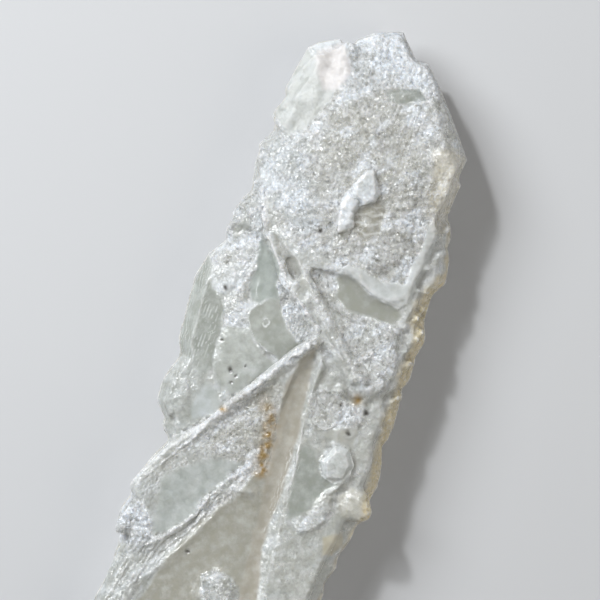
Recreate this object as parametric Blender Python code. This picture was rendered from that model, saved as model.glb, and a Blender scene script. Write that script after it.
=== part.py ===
"""Etched quartz: a flat group of quartz crystals that grew together, lying on its back.

The group's length runs along Y with the head at +Y, its width along X, and its etched face looks up.
It rests on the flat prism face at z = 0. The origin is below the middle of its bounding box.
Every outline, height and radius below is in millimetres.
"""

import math
import random

import bmesh
import bpy
from mathutils import Matrix, Vector

MM = 0.001
MERGE_DISTANCE = 0.000001

BACK_HEIGHT = 8.6
RIM_HEIGHT = 10.4
HEAD_HEIGHT = 13.1
TIP_HEIGHT = 11.0
LOBE_HEIGHT = 10.5
CENTRE_HEIGHT = 11.7
TERRACE_HEIGHT = 13.2
LENS_HEIGHT = 12.2
WEDGE_HEIGHT = 13.0
LOWER_PLANE_HEIGHT = 11.1
RIGHT_HEIGHT = 12.4
BURIED = 5.0

CHAMFER = 0.7
LOBE_SLOPE = (0.155, 0.0)
TERRACE_SLOPE = (-0.06, 0.01)
LENS_SLOPE = (-0.09, 0.139)
WEDGE_SLOPE = (0.0, 0.12)
RIGHT_SLOPE = (-0.1, 0.01)

RIM_TERMINATION = ((0.0, 42.0, 12.2), (0.0, 0.34, 0.94))
RIM_UNDERSIDE = ((0.0, 40.0, 0.5), (0.05, 0.36, -0.93))
BACK_TERMINATION = ((0.0, 40.0, 0.0), (0.0, 0.37, -0.93))
HEAD_FACETS = [
    ((0.0, 42.0, 12.7), (0.0, 0.34, 0.94)),
    ((-5.0, 47.0, 11.2), (-0.42, 0.32, 0.85)),
    ((6.4, 43.7, 12.5), (0.6, 0.48, 0.64)),
    ((-6.0, 30.0, 13.0), (-0.16, 0.02, 0.987)),
    ((-11.5, 30.0, 12.0), (-0.42, 0.06, 0.9)),
    ((6.5, 30.0, 13.0), (0.13, -0.02, 0.99)),
    ((4.0, 19.0, 13.0), (0.06, -0.12, 0.99)),
    ((2.0, 36.0, 13.0), (0.03, 0.09, 0.995)),
]

SIDE_FOOT_DEPTH = 2.9
SIDE_CRYSTALS = 13
CRUST_CRYSTALS = 46
CRUST_ROWS = 3
LEAVES = 4
HEAD_HILLOCKS = 50
HEAD_LEDGES = 9
TERRACE_HILLOCKS = 16
LENS_END_HILLOCKS = 8
HEAD_PITS = 18
TAN_PANE_PITS = 4

QUARTZ_COLOUR = (0.78, 0.77, 0.74, 1.0)
QUARTZ_ROUGHNESS = 0.4

SILHOUETTE = [
    (-9.3, 47.7), (-7.7, 50.0), (-5.7, 51.7), (-1.7, 53.3), (1.7, 49.8), (3.6, 50.0), (6.4, 47.4),
    (11.9, 41.1), (14.4, 37.9), (14.0, 34.9), (14.9, 33.9), (14.3, 30.6), (14.8, 29.7), (14.3, 28.7),
    (15.6, 27.5), (16.3, 25.5), (16.2, 24.1), (17.1, 22.5), (17.9, 19.0), (16.6, 16.7), (16.1, 13.4),
    (15.2, 12.9), (16.6, 12.6), (17.9, 9.4), (17.4, 6.7), (17.7, 2.7), (17.1, 1.4), (17.8, -3.8),
    (17.7, -6.8), (17.1, -8.1), (18.2, -10.8), (18.7, -14.3), (18.2, -16.9), (19.1, -18.4),
    (19.0, -19.5), (17.7, -20.7), (17.5, -23.6), (16.6, -26.5), (16.9, -28.3), (16.1, -31.1),
    (16.6, -32.9), (15.8, -40.2), (15.0, -42.9), (15.1, -46.3), (12.5, -49.6), (8.5, -50.7),
    (4.4, -52.9), (-2.8, -52.4), (-8.0, -53.5), (-14.2, -52.7), (-16.9, -50.5), (-16.6, -45.1),
    (-15.7, -38.7), (-16.3, -37.5), (-15.6, -35.6), (-17.5, -32.7), (-17.7, -30.9), (-16.8, -28.0),
    (-17.6, -27.0), (-15.9, -21.9), (-14.2, -18.4), (-16.1, -16.3), (-15.7, -15.7), (-18.1, -13.2),
    (-18.3, -9.7), (-16.9, -5.3), (-18.2, -3.0), (-19.1, 6.8), (-18.3, 10.8), (-16.4, 13.6),
    (-17.0, 15.3), (-16.4, 17.3), (-17.0, 17.9), (-16.2, 20.8), (-15.1, 22.7), (-15.6, 23.3),
    (-16.3, 26.4), (-16.2, 28.5), (-16.7, 29.3), (-15.1, 32.4), (-16.3, 34.1), (-16.2, 35.2),
    (-15.3, 37.6), (-15.9, 38.9), (-15.2, 43.6), (-14.7, 45.9), (-13.4, 47.2), (-10.4, 49.0),
]


def clear_scene():
    for obj in list(bpy.data.objects):
        bpy.data.objects.remove(obj, do_unlink=True)


def new_collection(name):
    collection = bpy.data.collections.new(name)
    bpy.context.scene.collection.children.link(collection)
    return collection


def add_helper(name, bm, collection):
    """Adds the mesh bm, drawn in millimetres, as a helper that is joined to the crystal or cut from it."""
    bmesh.ops.recalc_face_normals(bm, faces=bm.faces)
    bmesh.ops.scale(bm, vec=(MM, MM, MM), verts=bm.verts)
    mesh = bpy.data.meshes.new(name)
    bm.to_mesh(mesh)
    bm.free()
    obj = bpy.data.objects.new(name, mesh)
    obj.hide_render = True
    obj.display_type = "WIRE"
    collection.objects.link(obj)
    return obj


def cut_facet(bm, point, normal):
    """Cuts away what lies outside a plane and closes the cut with a flat crystal face."""
    geometry = bm.verts[:] + bm.edges[:] + bm.faces[:]
    cut = bmesh.ops.bisect_plane(
        bm, geom=geometry, dist=1e-5, plane_co=point, plane_no=normal, clear_outer=True
    )
    rim = [item for item in cut["geom_cut"] if isinstance(item, bmesh.types.BMEdge)]
    bmesh.ops.edgeloop_fill(bm, edges=rim)


def tablet(name, collection, outline, rings, slope=(0.0, 0.0), facets=(), sway=0.0):
    """A flat crystal: its outline at each ring's height and inset, then tilted and faceted.

    rings holds (height, inset) pairs from the bottom up, slope is the rise along X and Y, and sway
    lets the height of the rings between the flat bottom and top wander by that much.
    """
    xs = [x for x, y in outline]
    ys = [y for x, y in outline]
    middle = Vector(((min(xs) + max(xs)) / 2, (min(ys) + max(ys)) / 2, 0.0))
    half_width = (max(xs) - min(xs)) / 2
    half_length = (max(ys) - min(ys)) / 2
    bm = bmesh.new()
    ring = [bm.verts.new((x, y, 0.0)) for x, y in outline]
    edges = list(bm.faces.new(ring).edges)
    last_inset = 0.0
    for number, (height, inset) in enumerate(rings):
        if number > 0:
            grown = bmesh.ops.extrude_edge_only(bm, edges=edges)["geom"]
            ring = [item for item in grown if isinstance(item, bmesh.types.BMVert)]
            edges = [item for item in grown if isinstance(item, bmesh.types.BMEdge)]
        shrink_x = (half_width - inset) / (half_width - last_inset)
        shrink_y = (half_length - inset) / (half_length - last_inset)
        bmesh.ops.scale(bm, vec=(shrink_x, shrink_y, 1), space=Matrix.Translation(-middle), verts=ring)
        between = 0 < number < len(rings) - 1
        for vert in ring:
            wander = sway * math.sin(0.21 * vert.co.y + 0.16 * vert.co.x) * math.cos(0.13 * vert.co.y)
            vert.co.z = height + wander * between
        last_inset = inset
    bmesh.ops.edgeloop_fill(bm, edges=edges)
    for vert in bm.verts:
        vert.co.z += slope[0] * (vert.co.x - middle.x) + slope[1] * (vert.co.y - middle.y)
    for point, normal in facets:
        cut_facet(bm, point, normal)
    return add_helper(name, bm, collection)


def facet_height(facets, x, y, highest):
    """The height of a faceted top at (x, y): the lowest of its planes there."""
    heights = [highest]
    for point, normal in facets:
        heights.append(point[2] - (normal[0] * (x - point[0]) + normal[1] * (y - point[1])) / normal[2])
    return min(heights)


def place_on_edge(edge, share):
    """The (x, y) place that lies a share of the way down an edge, each of its stretches counting the same."""
    place = share * (len(edge) - 1)
    stretch = int(place)
    start = Vector(edge[stretch])
    end = Vector(edge[stretch + 1])
    return start.lerp(end, place - stretch)


def slab_rings(top, chamfer=CHAMFER):
    """Rings of a plain plate: a buried foot, straight sides and a chamfered top."""
    return [(BURIED, 0.4), (top - chamfer, 0.0), (top, chamfer)]


def rod(name, collection, route, resolution=0):
    """A ridge or groove: a tapered rod through (x, y, z, radius) points, with its section's corner up."""
    curve = bpy.data.curves.new(name, "CURVE")
    curve.dimensions = "3D"
    curve.twist_mode = "Z_UP"
    curve.bevel_depth = 1.0
    curve.bevel_resolution = resolution
    curve.use_fill_caps = True
    spline = curve.splines.new("POLY")
    spline.points.add(len(route) - 1)
    for point, (x, y, z, radius) in zip(spline.points, route):
        point.co = (x, y, z, 1.0)
        point.radius = radius
    source = bpy.data.objects.new(name, curve)
    bpy.context.scene.collection.objects.link(source)
    bpy.context.view_layer.update()
    evaluated = source.evaluated_get(bpy.context.evaluated_depsgraph_get())
    mesh = bpy.data.meshes.new_from_object(evaluated)
    bpy.data.objects.remove(source, do_unlink=True)
    bm = bmesh.new()
    bm.from_mesh(mesh)
    bpy.data.meshes.remove(mesh)
    bmesh.ops.remove_doubles(bm, verts=bm.verts, dist=1e-4)
    return add_helper(name, bm, collection)


def point_crystal(name, collection, foot, direction, width, length):
    """A small six-sided crystal with a pyramid tip, growing from its foot along a direction."""
    bm = bmesh.new()
    shaft = 0.6 * length
    bmesh.ops.create_cone(
        bm,
        cap_ends=True,
        segments=6,
        radius1=width / 2,
        radius2=width / 2,
        depth=shaft,
        matrix=Matrix.Translation((0, 0, shaft / 2)),
    )
    top = max(bm.faces, key=lambda face: face.calc_center_median().z)
    bmesh.ops.poke(bm, faces=[top], offset=length - shaft)
    turn = Vector(direction).to_track_quat("Z", "Y").to_matrix().to_4x4()
    bmesh.ops.transform(bm, matrix=Matrix.Translation(foot) @ turn, verts=bm.verts)
    return add_helper(name, bm, collection)


def low_pyramid(name, collection, centre, radius, rise, sides, stretch, angle):
    """An etch hillock, or with a negative rise an etch pit, as a low pyramid through the surface."""
    bm = bmesh.new()
    depth = 2.0 * abs(rise)
    bmesh.ops.create_cone(
        bm, cap_ends=True, segments=sides, radius1=2.0 * radius, radius2=0.0, depth=depth
    )
    if rise < 0:
        bmesh.ops.rotate(bm, verts=bm.verts, matrix=Matrix.Rotation(math.pi, 3, "X"))
    bmesh.ops.rotate(bm, verts=bm.verts, matrix=Matrix.Rotation(angle, 3, "Z"))
    bmesh.ops.scale(bm, vec=(1.0, stretch, 1.0), verts=bm.verts)
    bmesh.ops.translate(bm, verts=bm.verts, vec=centre)
    return add_helper(name, bm, collection)


def make_back(body):
    """The main prism that carries every plate, flat below so that the group can rest on it."""
    outline = [
        (-1.5, 50.5), (5.0, 45.0), (12.6, 33.0), (14.6, 21.0), (15.4, 2.0), (15.6, -18.0), (14.2, -41.0),
        (11.0, -49.5), (3.0, -52.0), (-12.8, -51.6), (-15.0, -45.0), (-14.6, -24.0), (-15.6, 0.0),
        (-14.6, 14.0), (-13.2, 36.0), (-9.0, 46.0),
    ]
    rings = [(0.0, 4.4), (3.4, 1.7), (6.0, 0.6), (BACK_HEIGHT, 2.4)]
    left_back_face = ((-9.5, 34.0, 0.0), (-0.5, 0.25, -0.83))
    right_back_face = ((9.5, 32.0, 0.0), (0.5, 0.25, -0.83))
    facets = [BACK_TERMINATION, left_back_face, right_back_face]
    return tablet("back", body, outline, rings, facets=facets)


def make_back_crystals(joined):
    """Long crystals that lie beside the main prism on the back, each with its own flat face."""
    left = [
        (-16.9, 8.0), (-17.2, -9.0), (-14.6, -13.0), (-11.0, -12.0), (-9.0, 4.0), (-10.5, 17.0),
        (-13.6, 18.0),
    ]
    right = [
        (16.4, 19.5), (17.0, 4.0), (16.8, -20.0), (15.2, -25.0), (9.0, -24.0), (8.0, 8.0),
        (11.0, 21.5),
    ]
    left_low = [
        (-16.3, -28.0), (-16.2, -36.0), (-15.4, -47.5), (-11.0, -51.5), (-7.0, -46.0), (-8.0, -26.0),
        (-12.0, -22.0),
    ]
    head_right = [(13.6, 36.0), (13.8, 26.0), (10.0, 20.0), (6.0, 26.0), (5.0, 40.0), (8.6, 43.4)]
    tablet("left_back", joined, left, [(1.4, 2.2), (4.6, 0.5), (7.5, 0.0)], slope=(0.05, 0.01))
    tablet("right_back", joined, right, [(1.1, 2.6), (4.4, 0.6), (7.5, 0.0)], slope=(-0.08, 0.01))
    tablet("left_low_back", joined, left_low, [(0.9, 2.0), (4.0, 0.5), (7.0, 0.0)], slope=(0.06, -0.02))
    tablet("head_right_back", joined, head_right, [(2.6, 1.8), (5.2, 0.4), (7.5, 0.0)], slope=(-0.06, 0.06))


def make_rim(joined):
    """The toothed plate whose edge is the outline of the whole group, sloping up to the plates on it."""
    rings = [(2.6, 3.4), (4.6, 1.3), (6.4, 0.0), (7.7, 0.2), (9.3, 1.1), (RIM_HEIGHT, 2.2)]
    tablet("rim", joined, SILHOUETTE, rings, facets=[RIM_UNDERSIDE, RIM_TERMINATION], sway=0.7)


def make_side_crystals(joined, chance):
    """Larger crystals that stick out of both long sides, below the rim."""
    right_edge = [
        (12.6, 33.0), (15.0, 22.0), (15.4, 8.0), (16.0, -6.0), (16.6, -18.0), (15.0, -32.0),
        (13.4, -46.0),
    ]
    left_edge = [
        (-13.8, 40.0), (-14.4, 26.0), (-15.6, 14.0), (-17.0, 2.0), (-15.4, -14.0), (-15.8, -30.0),
        (-14.6, -47.0),
    ]
    for side, outward, edge in [("right", 1.0, right_edge), ("left", -1.0, left_edge)]:
        for number in range(SIDE_CRYSTALS):
            x, y = place_on_edge(edge, number / SIDE_CRYSTALS)
            width = chance.uniform(2.6, 4.4)
            lean = (outward, chance.uniform(-0.5, 0.7), chance.uniform(-0.35, 0.2))
            foot = (x - SIDE_FOOT_DEPTH * outward, y, chance.uniform(4.2, 5.6))
            length = chance.uniform(3.2, 4.2)
            point_crystal(f"{side}_side_{number}", joined, foot, lean, width, length)


def make_head(joined):
    """The broad etched crystal at the top, with its termination, a left flank and a raised lower lip."""
    outline = [
        (-8.9, 47.6), (-7.6, 49.7), (-5.6, 51.3), (-1.9, 52.8), (1.4, 49.4), (3.4, 49.6), (6.2, 47.0),
        (11.8, 40.7), (13.8, 37.6), (13.3, 34.9), (13.4, 31.6), (12.8, 27.1), (13.8, 25.7), (13.1, 19.4),
        (13.0, 15.0), (11.8, 13.0), (7.3, 13.5), (3.4, 15.0), (1.1, 15.0), (-1.5, 14.1), (-4.1, 14.1),
        (-9.5, 17.4), (-12.3, 19.6), (-14.1, 22.6), (-15.8, 26.1), (-15.8, 28.7), (-14.3, 32.3),
        (-13.8, 35.5), (-13.0, 39.2), (-10.7, 41.2),
    ]
    tablet("head", joined, outline, [(BURIED, 0.4), (HEAD_HEIGHT, 0.0)], facets=HEAD_FACETS)


def make_head_details(joined, chance):
    """Growth ledges down the head's right side, the rhomb crystal seated on it and its lower lip."""
    rhomb_top = [
        (-1.0, 28.6), (0.2, 30.9), (1.4, 31.3), (3.4, 28.1), (3.2, 26.7), (2.0, 25.6), (-0.4, 26.4),
    ]
    rhomb_foot = [(-1.2, 26.9), (0.9, 26.2), (0.5, 24.5), (1.2, 21.8), (-0.7, 20.2), (-1.8, 23.6)]
    tablet("rhomb_top", joined, rhomb_top, slab_rings(HEAD_HEIGHT + 1.3, 0.7), slope=(-0.08, 0.1))
    tablet("rhomb_foot", joined, rhomb_foot, slab_rings(HEAD_HEIGHT + 0.9, 0.5), slope=(-0.1, 0.0))
    lip = [
        (12.8, 19.0, 11.8, 0.5), (12.3, 14.6, 11.7, 0.7), (10.4, 13.4, 11.8, 0.8), (7.4, 13.8, 12.0, 0.7),
        (3.4, 15.2, 12.2, 0.6), (-1.5, 14.5, 12.2, 0.5), (-4.5, 14.6, 12.0, 0.4),
    ]
    rod("head_lip", joined, lip)
    for number in range(HEAD_LEDGES):
        x = 9.0 + chance.uniform(-2.6, 2.0)
        y = 36.5 - 2.3 * number + chance.uniform(-0.6, 0.6)
        half_width = chance.uniform(1.2, 2.4)
        ledge = [
            (x - half_width, y - 0.5), (x - 0.4 * half_width, y - 1.3), (x + half_width, y - 0.8),
            (x + 0.9 * half_width, y + 0.7), (x - 0.3 * half_width, y + 1.0),
        ]
        height = facet_height(HEAD_FACETS, x, y, HEAD_HEIGHT) + 0.35
        tablet(f"head_ledge_{number}", joined, ledge, slab_rings(height, 0.25), slope=(-0.13, 0.12))


def make_left_tip(joined):
    """The small second crystal beside the head."""
    outline = [
        (-9.2, 47.3), (-10.4, 48.8), (-13.3, 47.1), (-14.7, 45.8), (-15.1, 43.5), (-15.7, 38.9),
        (-15.1, 37.5), (-16.1, 34.9), (-15.4, 32.9), (-13.4, 31.9), (-10.0, 33.9), (-7.7, 38.8),
        (-6.6, 42.5),
    ]
    tip_face = ((-11.5, 44.6, TIP_HEIGHT), (-0.12, 0.42, 0.9))
    inner_face = ((-10.8, 42.0, TIP_HEIGHT - 0.15), (0.33, -0.02, 0.94))
    outer_face = ((-13.3, 40.0, TIP_HEIGHT), (-0.48, 0.08, 0.87))
    facets = [tip_face, inner_face, outer_face]
    tablet("left_tip", joined, outline, slab_rings(TIP_HEIGHT + 0.4, 0.4), facets=facets)
    point_crystal("left_bump", joined, (-14.6, 35.6, 9.2), (-0.25, 0.1, 1.0), 1.8, 1.9)


def make_left_shoulder(joined):
    """Stepped ledges where the head narrows on the left."""
    low_ledge = [
        (-12.4, 24.0), (-15.0, 22.4), (-16.1, 20.6), (-16.8, 17.9), (-16.3, 17.2), (-16.9, 15.3),
        (-16.2, 13.7), (-13.6, 13.0), (-11.2, 16.4), (-10.6, 19.4),
    ]
    high_ledge = [(-11.4, 22.6), (-13.8, 21.2), (-14.4, 18.4), (-13.2, 15.6), (-11.0, 15.2), (-9.8, 18.6)]
    small_facet = [(-15.9, 20.2), (-14.4, 20.8), (-13.6, 18.2), (-14.2, 16.4), (-15.7, 16.8)]
    tablet("low_ledge", joined, low_ledge, slab_rings(10.4, 0.5), slope=(0.1, 0.03))
    tablet("high_ledge", joined, high_ledge, slab_rings(11.6, 0.5), slope=(0.1, 0.05))
    tablet("small_facet", joined, small_facet, slab_rings(11.0, 0.3), slope=(0.2, -0.06))
    places = [(-14.2, 23.2), (-15.3, 19.0), (-15.6, 16.2), (-15.1, 26.9), (-15.2, 28.9)]
    for number, (x, y) in enumerate(places):
        point_crystal(f"shoulder_crystal_{number}", joined, (x, y, 8.6), (-0.35, 0.15, 1.0), 1.7, 2.6)


def make_left_lobe(joined):
    """The smooth striated crystal on the left, with the rounded crystal and the panes that cover it."""
    lobe = [
        (-11.1, 17.1), (-14.3, 14.2), (-18.1, 10.7), (-18.8, 6.7), (-18.0, -3.0), (-16.7, -5.3),
        (-13.2, -9.0), (-9.1, -11.3), (-5.5, -7.8), (-1.7, -2.4), (1.3, 2.0), (-0.9, 4.5), (-4.3, 7.3),
        (-6.4, 12.0), (-9.0, 15.1),
    ]
    rounded = [
        (-17.0, 9.1), (-15.8, 10.3), (-13.7, 10.8), (-12.5, 9.6), (-12.4, 7.2), (-13.4, 5.5),
        (-14.8, 5.3), (-16.4, 6.4),
    ]
    frosted_band = [
        (-14.2, 13.9), (-11.9, 16.2), (-10.7, 13.2), (-10.2, 10.1), (-11.0, 8.3), (-10.6, 5.9),
        (-9.1, 2.3), (-10.8, 1.0), (-12.3, 1.0), (-13.2, 4.4), (-12.1, 6.9), (-12.4, 9.8),
        (-13.7, 11.1), (-15.5, 11.3),
    ]
    glassy_pane = [
        (-10.9, 15.6), (-8.0, 13.0), (-6.2, 10.4), (-4.4, 5.8), (-0.2, 2.6), (-2.3, -0.6), (-5.4, -0.4),
        (-7.9, 1.1), (-9.1, 3.5), (-9.4, 6.3), (-10.2, 10.1),
    ]
    tan_pane = [
        (-11.6, 0.6), (-8.9, 1.7), (-3.7, -2.4), (-5.2, -6.3), (-7.8, -9.2), (-11.8, -5.2),
        (-12.1, -1.6),
    ]
    tablet("left_lobe", joined, lobe, slab_rings(LOBE_HEIGHT, 0.9), slope=LOBE_SLOPE)
    tablet("rounded", joined, rounded, slab_rings(LOBE_HEIGHT + 0.2, 0.6), slope=LOBE_SLOPE)
    tablet("frosted_band", joined, frosted_band, slab_rings(LOBE_HEIGHT + 0.4, 0.4), slope=LOBE_SLOPE)
    tablet("glassy_pane", joined, glassy_pane, slab_rings(LOBE_HEIGHT + 1.3, 0.3), slope=(0.1, 0.0))
    tablet("tan_pane", joined, tan_pane, slab_rings(LOBE_HEIGHT + 0.7, 0.3), slope=(0.12, 0.05))
    for number, x in enumerate([-17.2, -16.3, -15.2, -14.3]):
        height = LOBE_HEIGHT + LOBE_SLOPE[0] * (x + 8.8) + 0.02
        start = (x + 0.3, 3.6 - number, height, 0.3)
        end = (x + 0.8, -3.4 - 0.8 * number, height, 0.3)
        rod(f"striation_{number}", joined, [start, end])


def make_lower_lobe(joined):
    """The milky crystal below the left lobe, and the small plate stepped onto it."""
    lobe = [
        (-16.7, -5.4), (-18.1, -9.8), (-17.9, -13.2), (-15.5, -15.7), (-15.8, -16.3), (-14.1, -18.2),
        (-11.2, -16.6), (-8.5, -13.0), (-5.3, -8.1), (-7.5, -4.5), (-10.9, -3.3), (-14.6, -3.0),
    ]
    plate = [(-17.0, -9.6), (-14.6, -7.8), (-13.2, -10.6), (-13.8, -14.2), (-15.4, -14.9), (-17.0, -13.0)]
    tablet("lower_lobe", joined, lobe, slab_rings(9.9, 0.7), slope=(0.12, 0.05))
    tablet("lobe_plate", joined, plate, slab_rings(10.5, 0.5), slope=(0.15, 0.03))


def make_centre(joined):
    """The plate under the head's lip, the etched terrace on it and the double ridge between the panes."""
    plate = [
        (-8.2, 16.9), (-4.9, 16.6), (5.8, 16.6), (12.9, 16.6), (14.7, 14.7), (14.3, 12.0), (13.4, 9.7),
        (14.9, 6.9), (16.1, 3.6), (15.9, 1.1), (14.6, -0.9), (13.3, -2.8), (13.6, -5.0), (14.1, -8.9),
        (11.3, -11.1), (7.0, -12.0), (4.4, -11.0), (3.3, -5.8), (2.6, 2.5), (-0.9, 3.5), (-4.6, 6.4),
        (-6.6, 10.6), (-9.0, 14.4),
    ]
    terrace = [
        (-4.8, 11.6), (-1.2, 11.2), (2.6, 9.2), (6.4, 8.6), (12.4, 9.2), (14.2, 6.8), (15.2, 3.4),
        (15.0, 1.3), (12.6, -2.6), (12.9, -5.0), (13.2, -8.2), (10.6, -10.0), (6.8, -10.6), (4.9, -8.6),
        (4.3, -2.4), (3.4, 3.0), (-0.6, 6.2), (-3.4, 8.6),
    ]
    tablet("centre_plate", joined, plate, slab_rings(CENTRE_HEIGHT, 0.5), slope=(0.0, -0.02))
    tablet("terrace", joined, terrace, slab_rings(TERRACE_HEIGHT, 0.6), slope=TERRACE_SLOPE)
    west_ridge = [
        (-13.2, 21.6, 11.4, 0.3), (-11.4, 17.9, 12.0, 0.7), (-9.0, 15.1, 12.3, 0.8), (-6.0, 11.3, 12.9, 1.0),
        (-2.3, 8.4, 13.6, 1.0), (1.8, 5.0, 14.0, 1.0), (5.3, 3.0, 13.8, 0.8), (9.6, -0.8, 13.3, 0.4),
    ]
    east_ridge = [
        (-9.9, 17.6, 12.1, 0.3), (-4.4, 14.0, 12.4, 0.7), (0.5, 9.4, 13.4, 0.9), (4.8, 5.3, 13.8, 0.9),
        (8.5, 2.0, 13.5, 0.7), (11.0, -0.6, 13.1, 0.3),
    ]
    rod("west_ridge", joined, west_ridge)
    rod("east_ridge", joined, east_ridge)
    for number, (x, y) in enumerate([(9.6, -0.5), (10.9, 0.3), (8.4, -2.6), (-3.6, 10.4), (-1.0, 9.0)]):
        point_crystal(f"centre_crystal_{number}", joined, (x, y, 12.6), (-0.2, 0.3, 1.0), 1.3, 2.2)


def make_lens(joined):
    """The long crystal below the V ridge: a plate sloping from its ridge down to its lip."""
    lens = [
        (-17.5, -26.9), (-15.7, -22.5), (-11.0, -17.2), (-6.3, -11.3), (-2.3, -10.8), (0.0, -13.2),
        (1.2, -16.7), (-1.3, -18.4), (-5.3, -26.1), (-7.4, -29.5), (-10.3, -33.7), (-12.5, -35.8),
        (-15.3, -35.6), (-17.3, -32.6), (-17.4, -30.7), (-16.6, -27.9),
    ]
    wedge = [
        (-7.0, -12.5), (-3.2, -6.5), (0.7, 0.1), (2.3, 3.4), (4.4, 0.6), (4.4, -6.5), (5.4, -12.7),
        (6.2, -18.9), (5.6, -24.0), (1.0, -27.0), (-1.5, -18.7), (0.0, -16.0), (-2.2, -12.4),
    ]
    end_face = ((-15.6, -31.0, 11.0), (-0.55, -0.35, 0.76))
    tablet("lens", joined, lens, slab_rings(LENS_HEIGHT), slope=LENS_SLOPE, facets=[end_face])
    tablet("wedge", joined, wedge, slab_rings(WEDGE_HEIGHT, 0.4), slope=WEDGE_SLOPE)
    v_ridge = [
        (2.3, 4.6, 14.6, 0.6), (-0.1, 1.2, 14.7, 1.0), (-2.4, -2.6, 14.3, 1.0), (-6.0, -8.5, 13.9, 0.9),
        (-9.6, -14.4, 13.5, 0.8), (-13.5, -19.4, 12.9, 0.8), (-17.0, -26.3, 11.8, 0.5),
    ]
    under_ridge = [
        (-8.2, -16.2, 12.9, 0.4), (-12.1, -20.8, 12.5, 0.5), (-15.0, -24.4, 12.1, 0.5),
        (-16.4, -28.0, 11.4, 0.4),
    ]
    lens_lip = [
        (0.4, -16.4, 12.0, 0.4), (-1.3, -18.6, 11.9, 0.6), (-3.5, -22.3, 11.6, 0.7),
        (-7.4, -29.5, 11.1, 0.7), (-10.3, -33.7, 10.8, 0.6), (-12.2, -35.3, 10.5, 0.4),
    ]
    rod("v_ridge", joined, v_ridge)
    rod("under_ridge", joined, under_ridge)
    rod("lens_lip", joined, lens_lip)
    for number, (x, y) in enumerate([(-0.2, -19.9), (0.9, -18.6), (-0.9, -21.6), (0.6, -21.2)]):
        point_crystal(f"lens_crystal_{number}", joined, (x, y, 10.9), (-0.1, -0.2, 1.0), 1.4, 1.9)


def make_lower_plane(joined):
    """The smooth plane below the lens, its own bright crest, the thin leaves at its left and a patch."""
    plane = [
        (-10.7, -37.1), (-8.2, -34.0), (-5.6, -30.0), (-3.4, -24.8), (-1.0, -19.6), (1.5, -18.2),
        (4.2, -22.1), (5.0, -29.3), (6.2, -36.2), (7.6, -43.9), (8.2, -50.0), (4.2, -52.4), (-2.8, -51.6),
        (-8.0, -52.8), (-13.3, -51.6), (-14.5, -46.3), (-13.8, -41.2),
    ]
    patch = [
        (-2.1, -36.3), (0.5, -34.5), (3.7, -35.1), (5.0, -37.9), (3.7, -40.7), (-0.1, -41.4),
        (-2.0, -39.5),
    ]
    crest = [
        (-0.8, -19.4, 11.3, 0.4), (-2.6, -24.6, 11.3, 0.6), (-5.6, -31.1, 11.1, 0.6),
        (-7.9, -35.4, 10.9, 0.6), (-11.0, -40.4, 10.6, 0.4),
    ]
    tablet("lower_plane", joined, plane, slab_rings(LOWER_PLANE_HEIGHT, 0.6), slope=(0.03, 0.02))
    tablet("patch", joined, patch, slab_rings(LOWER_PLANE_HEIGHT + 1.1, 0.3), slope=(0.0, 0.02))
    rod("crest", joined, crest)
    for number in range(LEAVES):
        inward = 1.1 * number
        height = 9.3 + 0.6 * number
        leaf = [
            (-15.6 + inward, -35.8 - inward), (-15.9 + inward, -38.4), (-16.2 + inward, -44.0),
            (-16.2 + inward, -50.2), (-12.7 + 0.5 * inward, -50.9), (-11.6, -44.0), (-10.9, -37.4),
        ]
        tablet(f"leaf_{number}", joined, leaf, slab_rings(height, 0.4), slope=(0.08, 0.0))


def make_right_side(joined):
    """The plate right of the channel, with the six-sided crystal, the knob and the frosted streak on it."""
    plate = [
        (3.4, -9.9), (9.2, -8.9), (12.9, -2.8), (14.9, -1.4), (16.0, -3.6), (15.7, -8.2), (16.6, -11.6),
        (16.3, -15.6), (15.6, -20.3), (15.5, -24.5), (14.7, -28.0), (14.5, -33.6), (13.9, -40.6),
        (13.2, -45.2), (11.4, -48.2), (6.8, -50.4), (5.7, -44.0), (4.4, -36.9), (3.4, -28.3),
        (2.9, -20.3), (2.6, -15.6),
    ]
    hexagon = [(10.2, -10.3), (12.4, -10.2), (14.0, -12.2), (13.6, -15.3), (10.4, -16.1), (8.9, -13.4)]
    streak = [
        (9.3, -24.9), (9.5, -22.7), (10.8, -19.6), (12.4, -18.5), (13.3, -19.8), (12.5, -22.4),
        (10.9, -24.3),
    ]
    knob = [
        (13.1, -18.2), (13.2, -16.6), (14.8, -15.4), (16.7, -15.2), (18.2, -16.7), (19.0, -18.2),
        (19.0, -19.4), (17.5, -20.4), (15.5, -20.5), (14.0, -19.8),
    ]
    tablet("right_plate", joined, plate, slab_rings(RIGHT_HEIGHT, 0.7), slope=RIGHT_SLOPE)
    tablet("hexagon", joined, hexagon, slab_rings(RIGHT_HEIGHT + 1.3, 0.9), slope=(-0.08, 0.05))
    tablet("streak", joined, streak, slab_rings(RIGHT_HEIGHT + 0.5, 0.4), slope=(-0.1, 0.0))
    tablet("knob", joined, knob, [(7.6, 0.9), (9.4, 0.1), (11.0, 0.0), (12.1, 0.6), (12.6, 1.5)])
    channel_lip = [
        (3.9, -5.4, 12.8, 0.4), (4.5, -10.3, 12.6, 0.6), (5.1, -19.8, 12.3, 0.6), (6.3, -28.0, 12.1, 0.5),
    ]
    crease = [
        (13.8, -13.4, 12.6, 0.4), (12.3, -17.2, 12.7, 0.7), (9.7, -22.0, 12.6, 0.6),
        (8.3, -24.6, 12.3, 0.3),
    ]
    rod("channel_lip", joined, channel_lip)
    rod("crease", joined, crease)


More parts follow.
